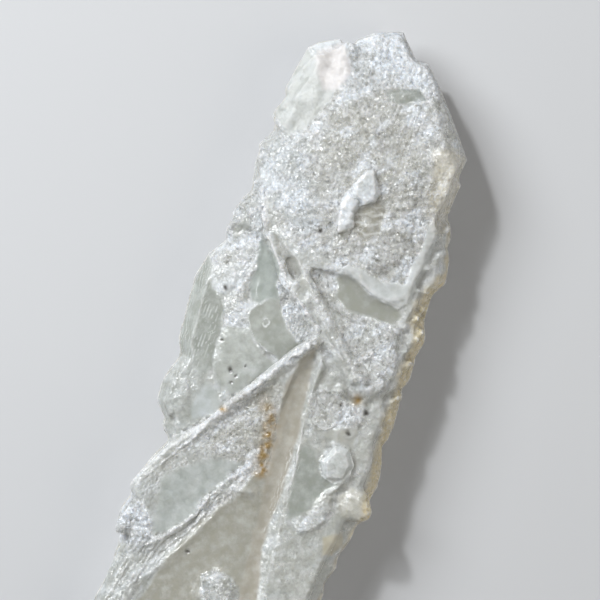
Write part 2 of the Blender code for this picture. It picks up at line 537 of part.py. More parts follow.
def make_crust(joined, chance):
    """Small crystals crowding the slope along the right edge."""
    edge = [
        (14.2, 31.0), (15.4, 26.0), (16.8, 20.0), (15.8, 13.0), (17.2, 8.0), (17.1, 0.0), (17.2, -7.0),
        (17.8, -14.0), (17.4, -22.0), (16.3, -28.0), (15.6, -38.0), (14.6, -45.0),
    ]
    for number in range(CRUST_CRYSTALS):
        x, y = place_on_edge(edge, number / CRUST_CRYSTALS)
        row = number % CRUST_ROWS
        inward = 1.1 + 0.8 * row + chance.uniform(-0.2, 0.2)
        height = 6.9 + 0.9 * row + chance.uniform(-0.2, 0.3)
        lean = (chance.uniform(0.1, 0.5), chance.uniform(-0.5, 0.5), 1.0)
        width = chance.uniform(1.4, 2.4)
        length = chance.uniform(2.9, 3.6)
        point_crystal(f"crust_{number}", joined, (x - inward, y, height), lean, width, length)


def make_hillocks(joined, chance):
    """Etch hillocks on the head, the terrace and the lens's end, stretched along the group's length."""
    for number in range(HEAD_HILLOCKS):
        turn = 2.4 * number
        reach = math.sqrt((number + 0.5) / HEAD_HILLOCKS)
        x = -0.8 + 11.0 * reach * math.cos(turn) + chance.uniform(-0.9, 0.9)
        y = 31.5 + 14.5 * reach * math.sin(turn) + chance.uniform(-0.9, 0.9)
        centre = (x, y, facet_height(HEAD_FACETS, x, y, HEAD_HEIGHT) - 0.05)
        radius = chance.uniform(0.6, 1.9)
        rise = 0.25 + 0.12 * radius
        low_pyramid(f"head_hillock_{number}", joined, centre, radius, rise, 5, 1.5, chance.uniform(0, 1))
    for number in range(TERRACE_HILLOCKS):
        x = chance.uniform(5.5, 13.5)
        y = chance.uniform(-9.0, 7.5)
        centre = (x, y, TERRACE_HEIGHT + TERRACE_SLOPE[0] * (x - 5.2) - 0.05)
        radius = chance.uniform(0.5, 1.2)
        rise = 0.45
        low_pyramid(f"terrace_hillock_{number}", joined, centre, radius, rise, 5, 1.4, chance.uniform(0, 1))
    for number in range(LENS_END_HILLOCKS):
        x = -16.2 + 0.75 * number
        y = -33.0 + 2.1 * (number % 4)
        height = LENS_HEIGHT + LENS_SLOPE[0] * (x + 8.1) + LENS_SLOPE[1] * (y + 23.3)
        low_pyramid(f"lens_hillock_{number}", joined, (x, y, height - 0.2), 0.9, 0.6, 5, 1.2, 0.7 * number)


def make_channel(cut):
    """The smooth hollow channel that runs down from the meeting point of the ridges."""
    floor = [
        (2.6, 2.6, 13.4, 0.9), (2.2, -2.0, 12.8, 1.8), (2.2, -7.3, 12.2, 2.5), (2.6, -13.9, 11.7, 3.0),
        (3.3, -21.7, 11.3, 3.3), (4.2, -29.5, 11.1, 3.4), (5.3, -37.2, 11.0, 3.4), (6.6, -45.0, 10.9, 3.5),
        (8.4, -54.5, 10.8, 3.6),
    ]
    route = [(x, y, z + radius, radius) for x, y, z, radius in floor]
    rod("channel", cut, route, resolution=2)


def make_broken_end(cut):
    """Slanted breaks across the lower end, where the group came off its bed."""
    breaks = [
        ((-10.0, -52.6, 6.0), (-0.2, -0.95, 0.35)),
        ((4.0, -52.2, 6.0), (0.28, -0.95, -0.2)),
        ((0.0, -52.9, 9.0), (0.05, -0.85, 0.5)),
    ]
    for number, (point, normal) in enumerate(breaks):
        size = 40.0
        bm = bmesh.new()
        bmesh.ops.create_cube(bm, size=size)
        turn = Vector(normal).to_track_quat("Z", "Y").to_matrix().to_4x4()
        outside = Matrix.Translation((0, 0, size / 2))
        bmesh.ops.transform(bm, matrix=Matrix.Translation(point) @ turn @ outside, verts=bm.verts)
        add_helper(f"break_{number}", bm, cut)


def make_recesses(cut):
    """The hollow under the rhomb crystal and the shelf near the head's tip."""
    recess = [(0.9, 23.6), (2.4, 25.2), (3.8, 26.4), (5.2, 25.2), (5.4, 22.3), (2.8, 19.6), (1.6, 20.4)]
    shelf = [(-1.1, 43.7), (0.7, 44.9), (3.2, 45.4), (5.3, 44.6), (4.4, 43.4), (2.2, 43.2), (-0.4, 42.6)]
    tablet("recess", cut, recess, [(HEAD_HEIGHT - 0.9, 0.6), (HEAD_HEIGHT + 3.0, -0.4)])
    tablet("shelf", cut, shelf, [(HEAD_HEIGHT - 2.4, 0.3), (HEAD_HEIGHT + 3.0, -0.4)])


def make_pits(cut, chance):
    """Three-sided etch pits on the head and on the tan pane."""
    for number in range(HEAD_PITS):
        x = chance.uniform(-9.5, 9.5)
        y = chance.uniform(18.0, 43.0)
        centre = (x, y, facet_height(HEAD_FACETS, x, y, HEAD_HEIGHT) + 0.1)
        radius = chance.uniform(0.5, 0.9)
        low_pyramid(f"head_pit_{number}", cut, centre, radius, -0.7, 3, 1.3, chance.uniform(0, 2))
    for number in range(TAN_PANE_PITS):
        centre = (-8.2 + 0.9 * (number % 2), -2.4 - 1.4 * number, LOBE_HEIGHT + 0.9 - 0.1 * number)
        low_pyramid(f"pane_pit_{number}", cut, centre, 0.5, -0.7, 3, 1.0, 0.8 * number)


def add_boolean(obj, name, operation, collection):
    modifier = obj.modifiers.new(name, "BOOLEAN")
    modifier.operation = operation
    modifier.operand_type = "COLLECTION"
    modifier.collection = collection
    modifier.solver = "EXACT"


def quartz_material():
    material = bpy.data.materials.new("quartz")
    material.use_nodes = True
    shader = material.node_tree.nodes["Principled BSDF"]
    shader.inputs["Base Color"].default_value = QUARTZ_COLOUR
    shader.inputs["Roughness"].default_value = QUARTZ_ROUGHNESS
    shader.inputs["Metallic"].default_value = 0.0
    shader.inputs["IOR"].default_value = 1.544
    return material


def keep_outer_skin(bm):
    """Fills any sealed hollow between crystals: only the skin that is connected to the rest face stays."""
    start = min(bm.verts, key=lambda vert: vert.co.z)
    reached = {start}
    waiting = [start]
    while waiting:
        vert = waiting.pop()
        neighbours = {edge.other_vert(vert) for edge in vert.link_edges} - reached
        reached |= neighbours
        waiting.extend(neighbours)
    bmesh.ops.delete(bm, geom=[vert for vert in bm.verts if vert not in reached], context="VERTS")


def fuse(back, name, collection):
    """Turns the back with everything joined to it and cut from it into one plain mesh, centred on X and Y."""
    bpy.context.view_layer.update()
    evaluated = back.evaluated_get(bpy.context.evaluated_depsgraph_get())
    mesh = bpy.data.meshes.new_from_object(evaluated)
    mesh.name = name
    bm = bmesh.new()
    bm.from_mesh(mesh)
    bmesh.ops.triangulate(bm, faces=bm.faces)
    bmesh.ops.remove_doubles(bm, verts=bm.verts, dist=MERGE_DISTANCE)
    keep_outer_skin(bm)
    lowest = Vector([min(vert.co[axis] for vert in bm.verts) for axis in range(3)])
    highest = Vector([max(vert.co[axis] for vert in bm.verts) for axis in range(3)])
    middle = (lowest + highest) / 2
    bmesh.ops.translate(bm, vec=(-middle.x, -middle.y, -lowest.z), verts=bm.verts)
    bm.to_mesh(mesh)
    bm.free()
    mesh.materials.clear()
    mesh.materials.append(quartz_material())
    crystal = bpy.data.objects.new(name, mesh)
    collection.objects.link(crystal)
    return crystal


def main():
    clear_scene()
    chance = random.Random(7)
    parts = new_collection("etched_quartz")
    joined = new_collection("joined_crystals")
    details = new_collection("joined_details")
    cut = new_collection("cutters")
    pits = new_collection("pits")
    body = new_collection("body")
    back = make_back(body)
    make_back_crystals(joined)
    make_rim(joined)
    make_side_crystals(joined, chance)
    make_head(joined)
    make_left_tip(joined)
    make_left_shoulder(joined)
    make_left_lobe(joined)
    make_lower_lobe(joined)
    make_centre(joined)
    make_lens(joined)
    make_lower_plane(joined)
    make_right_side(joined)
    make_crust(joined, chance)
    make_channel(cut)
    make_broken_end(cut)
    make_recesses(cut)
    make_head_details(details, chance)
    make_hillocks(details, chance)
    make_pits(pits, chance)
    add_boolean(back, "join crystals", "UNION", joined)
    add_boolean(back, "cut channel", "DIFFERENCE", cut)
    add_boolean(back, "join details", "UNION", details)
    add_boolean(back, "cut pits", "DIFFERENCE", pits)
    fuse(back, "etched_quartz", parts)


main()
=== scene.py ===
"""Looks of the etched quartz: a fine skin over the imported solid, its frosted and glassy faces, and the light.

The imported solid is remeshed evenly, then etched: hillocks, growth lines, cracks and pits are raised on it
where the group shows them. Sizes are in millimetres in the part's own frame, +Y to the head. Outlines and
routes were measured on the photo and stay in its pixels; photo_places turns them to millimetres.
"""

import math

import bmesh
import bpy
import numpy as np
from mathutils import Matrix, Vector
from mathutils.bvhtree import BVHTree

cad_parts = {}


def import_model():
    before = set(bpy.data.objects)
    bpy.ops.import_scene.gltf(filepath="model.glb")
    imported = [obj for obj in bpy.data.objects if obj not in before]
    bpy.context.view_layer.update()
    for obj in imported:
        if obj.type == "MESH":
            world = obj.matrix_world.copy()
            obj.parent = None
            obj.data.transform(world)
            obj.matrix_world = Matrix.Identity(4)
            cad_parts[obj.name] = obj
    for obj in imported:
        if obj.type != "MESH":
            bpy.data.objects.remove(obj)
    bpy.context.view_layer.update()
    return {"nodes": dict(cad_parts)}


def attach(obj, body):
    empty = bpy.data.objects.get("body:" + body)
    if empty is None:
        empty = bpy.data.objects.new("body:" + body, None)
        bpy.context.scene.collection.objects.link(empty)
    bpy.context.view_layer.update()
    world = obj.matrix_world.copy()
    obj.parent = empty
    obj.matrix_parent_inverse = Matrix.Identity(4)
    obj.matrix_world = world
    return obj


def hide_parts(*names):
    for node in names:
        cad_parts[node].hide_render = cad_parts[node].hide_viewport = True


MM = 0.001
NODE = "etched_quartz"
SKIN = "etched_quartz_skin"

# Skin
VOXEL = 0.245
TRIANGLE_BUDGET = 192000
FLOOR_CLEARANCE = 0.35
CLOSING = 0.35
CLOSING_VOXEL = 0.25
SNAP_REACH = 0.18
SOFT_ROUNDS = 33
CREST_REACH = 1.1
KEPT_SHARP = ("rhomb_rim", "hexagon_rim", "tip_border", "tip_side", "head_rim_highlight", "crack", "pane_vein")
THINNED_SLOPE = (-0.1, 0.25)
THINNING_STEPS = 10

# Hollows of the solid that the group doesn't show: centre and half sizes
FILLINGS = [
    ((2.2, 44.3, 11.1), (3.6, 1.0, 0.85)),
    ((-1.6, 44.2, 11.1), (1.4, 0.9, 0.8)),
    ((-8.6, 45.2, 10.3), (1.7, 3.6, 1.3)),
    ((-9.3, 41.8, 10.9), (1.6, 2.4, 1.0)),
]

# Camera
LENS = 250.0
SENSOR = 36.0
VIEW_WIDTH = 92.3
VIEW_CENTRE = (-2.5, 8.7, 10.0)
VIEW_TURN = math.radians(20.0)
NEAREST = 0.01
FARTHEST = 20.0

# The photo's scale, and where its middle lies on the group
PIXELS_PER_MM = 6.5
PHOTO_MIDDLE = 300
MIDDLE_PLACE = (-2.5, 8.8)


def photo_places(pixels):
    """Plan places, to a tenth of a millimetre, of places measured in the photo's pixels."""
    places = []
    for column, row in pixels:
        right = (column - PHOTO_MIDDLE) / PIXELS_PER_MM
        up = (PHOTO_MIDDLE - row) / PIXELS_PER_MM
        x = right * math.cos(VIEW_TURN) - up * math.sin(VIEW_TURN) + MIDDLE_PLACE[0]
        y = right * math.sin(VIEW_TURN) + up * math.cos(VIEW_TURN) + MIDDLE_PLACE[1]
        places.append((round(x, 1), round(y, 1)))
    return places


# What a face can change, and the values where no outline reaches: on the front, then on the sides and back
# The violet layer is a painted cool sheen of the window light on whiter faces.
LAYERS = ("crumb", "frost", "milk", "green", "tan", "warm_glow", "cool_sheen", "pink", "etch", "soft", "rise")
NO_LAYERS = dict.fromkeys(LAYERS, 0.0)
TOP_BASE = {**NO_LAYERS, "milk": 0.55, "green": 0.3, "tan": 0.15, "etch": 0.45, "soft": 0.25}
# The warm layer is a painted warm glow of light shining through the sides and the right-hand crust.
SIDE_BASE = {**NO_LAYERS, "crumb": 0.2, "frost": 0.3, "milk": 0.6, "green": 0.15, "tan": 0.2, "warm_glow": 0.6,
             "etch": 0.5, "soft": 0.1}

# Each face of the group: its soft edge's width, what it changes and its outline in the photo's pixels
FACES = [
    ("left_lobe", 0.5, {"milk": 0.15, "green": 0.75, "etch": 0.12, "soft": 0.08}, [
        (212, 250), (198, 270), (186, 294), (177, 324), (179, 350), (190, 362), (202, 384), (212, 366),
        (222, 330), (223, 302), (214, 290), (209, 276)]),
    ("lower_lobe", 0.5, {"milk": 0.3, "green": 0.4, "etch": 0.3, "soft": 0.08, "cool_sheen": 0.3}, [
        (179, 350), (155, 379), (154, 397), (171, 440), (200, 424), (214, 412), (206, 384), (192, 364)]),
    ("light_plate", 0.3, {"milk": 0.5, "green": 0.7, "etch": 0.03, "soft": 0.3}, [
        (207, 382), (216, 394), (222, 407), (208, 417), (190, 420), (192, 402)]),
    ("head", 0.6, {"milk": 0.66, "green": 0.1, "etch": 1.0, "soft": 1.0}, [
        (333, 75), (348, 43), (382, 25), (406, 24), (417, 52), (435, 58), (473, 152), (453, 209),
        (438, 236), (420, 272), (406, 300), (384, 300), (347, 270), (288, 240), (262, 202), (253, 169),
        (262, 140), (295, 96)]),
    ("head_centre", 1.6, {"milk": 0.4, "tan": 0.6, "etch": 0.9}, [
        (326, 118), (372, 104), (412, 122), (430, 150), (424, 190), (392, 225), (366, 250), (345, 246),
        (338, 190), (322, 150)]),
    ("head_tip", 0.9, {"milk": 1.0, "green": 0.0, "tan": 0.0, "etch": 1.15, "cool_sheen": 0.6}, [
        (333, 75), (346, 48), (380, 26), (405, 26), (415, 49), (431, 58), (444, 89), (426, 108), (395, 86),
        (366, 96), (346, 100)]),
    ("left_strip", 1.3, {"milk": 0.6, "cool_sheen": 0.8, "tan": 0.0, "etch": 0.8}, [
        (254, 151), (270, 129), (298, 122), (310, 165), (318, 225), (292, 228), (262, 202), (255, 170)]),
    ("left_tip", 0.4,
     {"milk": 0.35, "green": 0.35, "etch": 0.16, "soft": 0.3, "cool_sheen": 0.1, "frost": 1.0}, [
        (345, 50), (342, 35), (305, 41), (297, 59), (282, 85), (273, 110), (285, 135), (306, 129),
        (329, 103), (344, 83)]),
    ("pink_facet", 0.5,
     {"milk": 0.55, "green": 0.0, "tan": 0.0, "pink": 0.38, "etch": 0.14, "soft": 0.5, "frost": 1.0}, [
        (318, 52), (343, 42), (352, 74), (340, 92), (324, 90), (314, 70)]),
    ("tip_facet", 0.2, {"milk": 0.7, "cool_sheen": 0.3, "etch": 0.35, "soft": 0.2, "frost": 0.8}, [
        (305, 46), (320, 35), (344, 36), (343, 46), (322, 55), (312, 58)]),
    ("crescent", 0.3, {"milk": 0.15, "green": 0.8, "etch": 0.3, "rise": -0.25}, [
        (384, 92), (400, 88), (420, 92), (428, 102), (410, 106), (390, 103)]),
    ("crescent_glint", 0.3, {"milk": 0.6, "cool_sheen": 0.5, "etch": 0.8}, [
        (400, 106), (420, 100), (430, 108), (424, 112), (405, 112)]),
    ("right_flank", 0.8, {"milk": 0.7, "warm_glow": 0.35, "etch": 0.6, "tan": 0.4}, [
        (432, 152), (471, 151), (463, 183), (451, 216), (438, 236), (424, 214), (428, 180)]),
    ("head_low", 1.2, {"milk": 0.45, "green": 0.05, "tan": 0.45, "etch": 1.3, "cool_sheen": 0.0}, [
        (350, 250), (385, 214), (432, 186), (438, 236), (420, 272), (406, 300), (384, 300), (366, 282),
        (348, 268)]),
    ("lip", 0.25, {"milk": 0.6, "green": 0.35, "tan": 0.0, "cool_sheen": 0.0, "etch": 0.15, "rise": 0.1}, [
        (340, 268), (358, 281), (373, 296), (399, 308), (409, 304), (418, 284), (428, 268), (438, 233),
        (432, 219), (427, 229), (421, 250), (412, 266), (405, 285), (383, 282), (367, 273), (350, 264)]),
    # A recess sunk beside the rhomb, its dark tan a painted shadow cast by the rhomb
    ("recess", 0.5, {"milk": 0.05, "tan": 0.9, "etch": 0.35, "rise": -0.2}, [
        (355, 210), (377, 198), (384, 214), (379, 236), (361, 244), (352, 229)]),
    ("rhomb", 0.2,
     {"milk": 0.88, "green": 0.5, "tan": 0.0, "cool_sheen": 0.3, "etch": 0.36, "rise": 0.15, "soft": 0.0}, [
        (346, 192), (366, 171), (374, 171), (379, 195), (375, 203), (361, 208), (354, 215), (353, 228),
        (337, 234), (340, 204)]),
    ("shoulder", 0.5, {"crumb": 0.45, "milk": 0.5, "cool_sheen": 0.7, "etch": 0.9, "soft": 0.4}, [
        (226, 212), (240, 190), (260, 176), (263, 210), (264, 240), (256, 262), (222, 246)]),
    ("grey_facet", 0.2, {"milk": 0.3, "green": 0.4, "cool_sheen": 0.0, "etch": 0.15}, [
        (236, 226), (246, 215), (250, 227), (243, 234), (231, 240)]),
    ("band", 0.3,
     {"crumb": 0.3, "milk": 0.65, "green": 0.0, "etch": 0.8, "soft": 0.8, "rise": 0.1, "cool_sheen": 0.4}, [
        (208, 256), (226, 242), (246, 236), (262, 250), (258, 268), (248, 282), (242, 292), (247, 308),
        (247, 327), (224, 327), (223, 302), (236, 292), (231, 262), (217, 265)]),
    ("rounded", 0.2, {"milk": 0.6, "green": 0.2, "cool_sheen": 0.25, "etch": 0.4, "soft": 0.15}, [
        (210, 278), (217, 266), (231, 262), (244, 268), (242, 281), (234, 292), (222, 296), (214, 290)]),
    ("green_pane", 0.25, {"milk": 0.2, "green": 1.0, "tan": 0.0, "etch": 0.04, "soft": 0.8}, [
        (258, 242), (265, 240), (275, 256), (280, 272), (277, 287), (280, 302), (270, 299), (258, 304),
        (252, 300), (249, 285), (256, 268)]),
    ("ring_pane", 0.2, {"milk": 0.18, "green": 0.7, "tan": 0.3, "etch": 0.03, "soft": 1.0}, [
        (270, 299), (280, 302), (286, 326), (296, 342), (303, 350), (279, 360), (268, 352), (256, 342),
        (249, 330), (248, 318), (251, 310)]),
    ("tan_pane", 0.3, {"milk": 0.3, "green": 0.75, "tan": 0.3, "etch": 0.12, "soft": 1.0}, [
        (224, 328), (247, 328), (253, 342), (265, 358), (276, 364), (270, 378), (253, 391), (232, 398),
        (220, 386), (214, 372), (214, 360), (220, 341)]),
    ("sugar_flank", 0.3, {"milk": 0.7, "cool_sheen": 0.2, "tan": 0.0, "etch": 1.1, "soft": 0.8}, [
        (277, 284), (283, 279), (301, 302), (323, 333), (316, 343), (297, 342), (286, 326), (280, 307)]),
    ("ridge_groove", 0.3, {"milk": 0.25, "tan": 0.5, "etch": 0.3, "soft": 0.8}, [
        (274, 236), (286, 244), (303, 270), (313, 292), (304, 290), (290, 268), (277, 252)]),
    ("centre_etched", 0.6, {"milk": 0.6, "green": 0.3, "tan": 0.1, "etch": 1.0, "soft": 0.8}, [
        (303, 268), (312, 290), (322, 318), (344, 350), (360, 388), (384, 392), (398, 372), (400, 330),
        (392, 322), (362, 315), (346, 310), (337, 298), (335, 272)]),
    ("right_pane", 0.3, {"milk": 0.08, "green": 0.5, "tan": 0.4, "etch": 0.05, "soft": 0.8}, [
        (337, 278), (348, 275), (358, 284), (368, 295), (380, 301), (397, 308), (400, 318), (391, 326),
        (380, 322), (361, 315), (346, 310), (337, 298)]),
    ("white_cluster", 0.4, {"crumb": 0.3, "milk": 1.0, "cool_sheen": 0.5, "etch": 0.5, "rise": 0.35}, [
        (351, 388), (362, 386), (372, 388), (371, 396), (360, 398), (353, 396)]),
    ("right_plate", 0.6, {"milk": 0.35, "green": 0.45, "tan": 0.25, "etch": 0.4, "soft": 0.4}, [
        (312, 366), (345, 356), (360, 390), (384, 396), (372, 440), (356, 500), (330, 560), (320, 612),
        (283, 680), (225, 686), (262, 612), (266, 560), (286, 490), (300, 430)]),
    ("right_etched", 0.6, {"milk": 0.55, "green": 0.2, "tan": 0.0, "etch": 0.95, "rise": 0.12}, [
        (309, 394), (328, 388), (346, 401), (365, 408), (372, 424), (356, 428), (330, 430), (312, 428)]),
    ("tan_smooth", 0.3, {"milk": 0.35, "tan": 0.6, "etch": 0.04}, [
        (322, 434), (340, 428), (358, 428), (352, 446), (334, 442)]),
    ("green_plate", 0.4, {"milk": 0.12, "green": 0.75, "tan": 0.1, "etch": 0.1, "soft": 0.9}, [
        (298, 446), (316, 450), (320, 476), (336, 486), (316, 500), (300, 516), (288, 520), (292, 486)]),
    ("hexagon", 0.15, {"milk": 0.55, "green": 0.6, "tan": 0.0, "etch": 0.35, "soft": 0.0}, [
        (335, 444), (348, 449), (354, 464), (347, 484), (335, 483), (321, 475), (319, 464), (327, 449)]),
    ("knob", 0.3, {"milk": 0.45, "green": 0.3, "warm_glow": 0.2, "etch": 0.35, "soft": 0.3}, [
        (337, 497), (349, 487), (363, 491), (371, 509), (370, 523), (346, 522), (338, 510)]),
    ("streak", 0.3, {"milk": 0.55, "cool_sheen": 0.3, "etch": 0.7, "soft": 0.6}, [
        (297, 527), (312, 508), (330, 503), (334, 513), (320, 523), (300, 532)]),
    ("low_pane", 0.3, {"milk": 0.3, "tan": 0.8, "warm_glow": 0.4, "etch": 0.04}, [
        (322, 536), (342, 533), (342, 548), (331, 556), (322, 555)]),
    ("lens_top", 0.5, {"milk": 0.33, "tan": 0.6, "green": 0.2, "etch": 0.8, "soft": 0.9}, [
        (200, 436), (228, 412), (262, 386), (283, 384), (276, 430), (262, 474), (244, 464), (216, 456)]),
    ("lens_middle", 0.5, {"milk": 0.42, "green": 0.85, "tan": 0.0, "etch": 0.12, "soft": 0.9}, [
        (157, 506), (163, 478), (188, 464), (210, 458), (244, 464), (249, 467), (216, 496), (194, 514),
        (174, 528), (152, 545), (151, 518)]),
    ("striped_facet", 0.3, {"milk": 0.4, "green": 0.3, "cool_sheen": 0.3, "etch": 0.35, "soft": 0.6}, [
        (138, 484), (157, 471), (158, 500), (150, 518), (140, 498)]),
    ("lens_end", 0.4,
     {"crumb": 0.4, "milk": 0.75, "green": 0.0, "cool_sheen": 0.65, "etch": 1.0, "soft": 0.6}, [
        (127, 491), (114, 505), (113, 522), (120, 544), (136, 547), (150, 545), (152, 518), (138, 496)]),
    ("frosted_patch", 0.5, {"milk": 0.8, "cool_sheen": 0.2, "tan": 0.0, "etch": 0.9, "rise": 0.15}, [
        (212, 442), (232, 446), (246, 444), (238, 454), (220, 456)]),
    ("crystal_cluster", 0.3, {"milk": 0.8, "cool_sheen": 0.2, "tan": 0.0, "etch": 1.1}, [
        (240, 476), (255, 466), (265, 468), (262, 486), (247, 494)]),
    ("lower_plane", 0.4, {"milk": 0.12, "green": 0.1, "tan": 0.8, "etch": 0.12, "soft": 0.9}, [
        (168, 556), (200, 520), (236, 490), (262, 470), (270, 480), (262, 510), (247, 560), (238, 612),
        (229, 695), (92, 652), (130, 612)]),
    ("hex_patch", 0.3, {"milk": 0.3, "cool_sheen": 0.35, "tan": 0.0, "etch": 0.7, "soft": 0.6}, [
        (202, 574), (212, 569), (230, 576), (239, 588), (239, 604), (220, 616), (200, 598)]),
    ("left_leaves", 0.4,
     {"crumb": 0.2, "milk": 0.25, "green": 0.2, "cool_sheen": 0.6, "etch": 0.35, "soft": 0.3}, [
        (120, 545), (150, 545), (168, 552), (130, 612), (105, 656), (72, 631), (98, 584)]),
    ("leaf_facet", 0.25, {"milk": 0.5, "cool_sheen": 0.6, "etch": 0.5}, [
        (158, 554), (163, 558), (146, 577), (128, 584), (140, 568)]),
    ("channel", 0.35,
     {"milk": 0.15, "green": 0.0, "tan": 0.8, "pink": 0.15, "warm_glow": 0.1, "etch": 0.0, "soft": 0.8}, [
        (318, 345), (312, 366), (307, 395), (300, 425), (292, 455), (286, 480), (274, 512), (262, 550),
        (256, 612), (243, 714), (212, 702), (236, 612), (246, 560), (262, 500), (272, 455), (280, 410),
        (286, 384), (303, 356)]),
    ("crust", 0.7,
     {"crumb": 0.45, "milk": 0.6, "green": 0.0, "tan": 0.3, "warm_glow": 1.0, "etch": 0.4, "soft": 0.1}, [
        (472, 159), (450, 213), (449, 250), (445, 275), (426, 289), (412, 312), (413, 339), (398, 379),
        (383, 419), (372, 468), (358, 523), (337, 559), (317, 610), (270, 696), (294, 705), (345, 612),
        (372, 560), (400, 470), (450, 333), (470, 230), (480, 160)]),
]

OUTLINES = {name: photo_places(outline) for name, feather, values, outline in FACES}
HEAD_FLOOR = 7.0
HEAD_INNER = (0.6, 1.8)
HEAD_RAGGED = 0.49
FRONT_SLOPE = (0.0, 0.35)
RAGGED = 0.7
RAGGED_SIZE = 1.6

# Sugary crystals that cling to the whitest lines, in clusters
SUGARY = 0.84
SUGAR_REACH = 0.8
SUGAR_WOBBLE = 0.4
SUGAR_LEAST = 0.25
SUGAR_ETCH = 1.1
CLUSTER_SIZE = 2.2
CLUSTERED = (-0.5, 0.4)

# Snowy patches between barer ones on the etched faces, long along the terraces
SNOW_TURN = math.radians(45.0)
SNOW_LENGTH = 3.6
SNOW_WIDTH = 1.5
SNOW_GRAIN = 0.4
SNOWY = (0.05, 0.45)
BARE = (0.05, -0.35)

# Raised or sunk lines: half width, height, how white they are and their route in the photo's pixels.
# A rim follows its face's outline.
LINES = [
    ("crack", 0.13, 0.14, 0.8, [
        (270, 299), (262, 303), (251, 310), (248, 318), (250, 330), (256, 342), (268, 351), (279, 359)]),
    ("pane_vein", 0.12, 0.06, 0.5, [(258, 282), (257, 291), (259, 300)]),
    ("left_crest", 0.2, 0.22, 0.9, [
        (262, 194), (264, 215), (268, 236), (275, 254), (281, 268), (292, 292), (308, 315), (323, 335),
        (338, 353), (353, 373)]),
    ("right_crest", 0.16, 0.16, 0.7, [
        (274, 229), (286, 247), (303, 270), (314, 296), (325, 325), (337, 342), (352, 368), (358, 386)]),
    ("left_slit", 0.2, -0.4, 0.0, [(265, 190), (261, 215), (262, 236)]),
    ("v_crest", 0.18, 0.24, 0.95, [
        (320, 341), (303, 350), (277, 368), (262, 382), (234, 401), (216, 417), (202, 429), (180, 449),
        (155, 468), (138, 484)]),
    ("v_upper", 0.16, 0.2, 0.9, [
        (264, 380), (230, 407), (209, 421), (188, 432), (169, 440), (157, 454), (136, 477), (129, 485)]),
    ("lens_crest", 0.16, 0.2, 0.85, [
        (249, 467), (230, 480), (209, 497), (194, 516), (174, 530), (156, 540), (136, 550)]),
    ("lens_groove", 0.25, -0.25, 0.0, [
        (247, 472), (229, 488), (209, 503), (190, 524), (171, 537), (156, 548)]),
    ("plane_crest", 0.15, 0.2, 0.95, [
        (246, 477), (228, 495), (209, 510), (188, 531), (169, 545), (156, 555)]),
    ("head_lip", 0.3, 0.18, 0.7, [
        (340, 269), (348, 270), (357, 274), (369, 294), (384, 302), (398, 308), (406, 302), (409, 293),
        (419, 272), (428, 255), (436, 232)]),
    ("channel_ridge", 0.16, 0.22, 0.82, [(304, 421), (297, 459), (292, 478), (283, 501), (279, 512)]),
    ("channel_thread", 0.12, 0.12, 0.6, [(292, 446), (288, 464), (276, 510), (258, 540)]),
    ("terrace_step", 0.2, 0.2, 0.9, [(352, 361), (370, 358), (384, 362), (397, 364)]),
    ("etched_step", 0.2, 0.16, 0.8, [(316, 430), (328, 428), (345, 421)]),
    ("crescent_step", 0.2, 0.15, 0.5, [(367, 94), (380, 90), (393, 89), (420, 92), (431, 103)]),
    ("tip_border", 0.15, 0.12, 0.7, [(313, 57), (326, 55), (346, 44)]),
    ("tip_side", 0.15, 0.12, 0.6, [(307, 46), (313, 57), (298, 74), (286, 94)]),
    # A raised line along the head's right edge, its whiteness a painted rim highlight
    ("head_rim_highlight", 0.16, 0.1, 0.7, [(406, 29), (416, 53), (432, 60), (471, 152), (458, 187)]),
    ("rhomb_rim", 0.13, 0.1, 0.83, []),
    ("hexagon_rim", 0.15, 0.12, 0.82, []),
    ("crease", 0.4, -0.3, 0.0, [(352, 487), (334, 494), (314, 504), (300, 522)]),
    ("head_groove", 0.3, -0.2, 0.0, [(352, 230), (347, 245), (343, 262)]),
]

ROUTES = {name: photo_places(route) for name, width, rise, whiteness, route in LINES}
for rimmed in ("rhomb", "hexagon"):
    ROUTES[f"{rimmed}_rim"] = OUTLINES[rimmed] + OUTLINES[rimmed][:1]
LINE_WOBBLE = 0.22
LINE_WOBBLE_SIZE = 0.9
LINE_TAPER = 0.12
LINE_LEAST = 0.3
MARKED_SLOPE = (0.1, 0.5)

# Growth lines: start, end, half width of the striped strip, spacing and height, in millimetres
STRIATED = [
    ("head_terraces", (1.0, 21.5), (12.5, 26.6), 7.5, 1.3, 0.13),
    ("lobe_stripes", (-17.4, 9.0), (-14.6, -8.0), 3.6, 0.42, 0.07),
    ("lens_stripes", (-2.5, -9.0), (-14.5, -26.0), 2.2, 0.6, 0.06),
    ("facet_stripes", (-13.6, -24.0), (-14.0, -31.0), 1.9, 0.5, 0.11),
    ("leaf_stripes", (-11.5, -35.0), (-14.6, -48.0), 3.6, 0.75, 0.17),
    ("channel_wrinkles", (4.9, -13.0), (5.2, -24.0), 1.5, 0.45, 0.06),
]
STRIPE_WANDER = 0.3
STRIPE_PATCH_SIZE = 2.5
STRIPE_WHITENESS = 0.7

RING_CENTRE = (266, 323)
RING_RADIUS = 0.55
RING_WIDTH = 0.13
RING_HEIGHT = 0.1
RING_WHITENESS = 0.8
STAIN_ROUTE = [(262, 392), (268, 410), (270, 425), (268, 440), (264, 455), (261, 471)]
STAIN_WIDTH = 1.1
STAIN_GRAIN = 0.55

# Spots: place in the photo, radius, depth and kind
DOTS = [
    ((357, 400), 0.75, 0.1, "ochre"),
    ((223, 409), 0.5, 0.1, "ochre"),
    ((348, 433), 0.28, 0.3, "dark"),
    ((366, 414), 0.35, 0.3, "dark"),
    ((342, 405), 0.25, 0.3, "dark"),
    ((187, 552), 0.3, 0.3, "dark"),
    ((320, 232), 0.35, 0.4, "dark"),
    ((225, 288), 0.35, 0.2, "dark"),
    ((230, 371), 0.35, 0.3, "dark"),
    ((235, 376), 0.22, 0.3, "dark"),
    ((231, 383), 0.25, 0.3, "dark"),
    ((245, 366), 0.2, 0.3, "dark"),
    ((222, 341), 0.22, 0.3, "dark"),
]

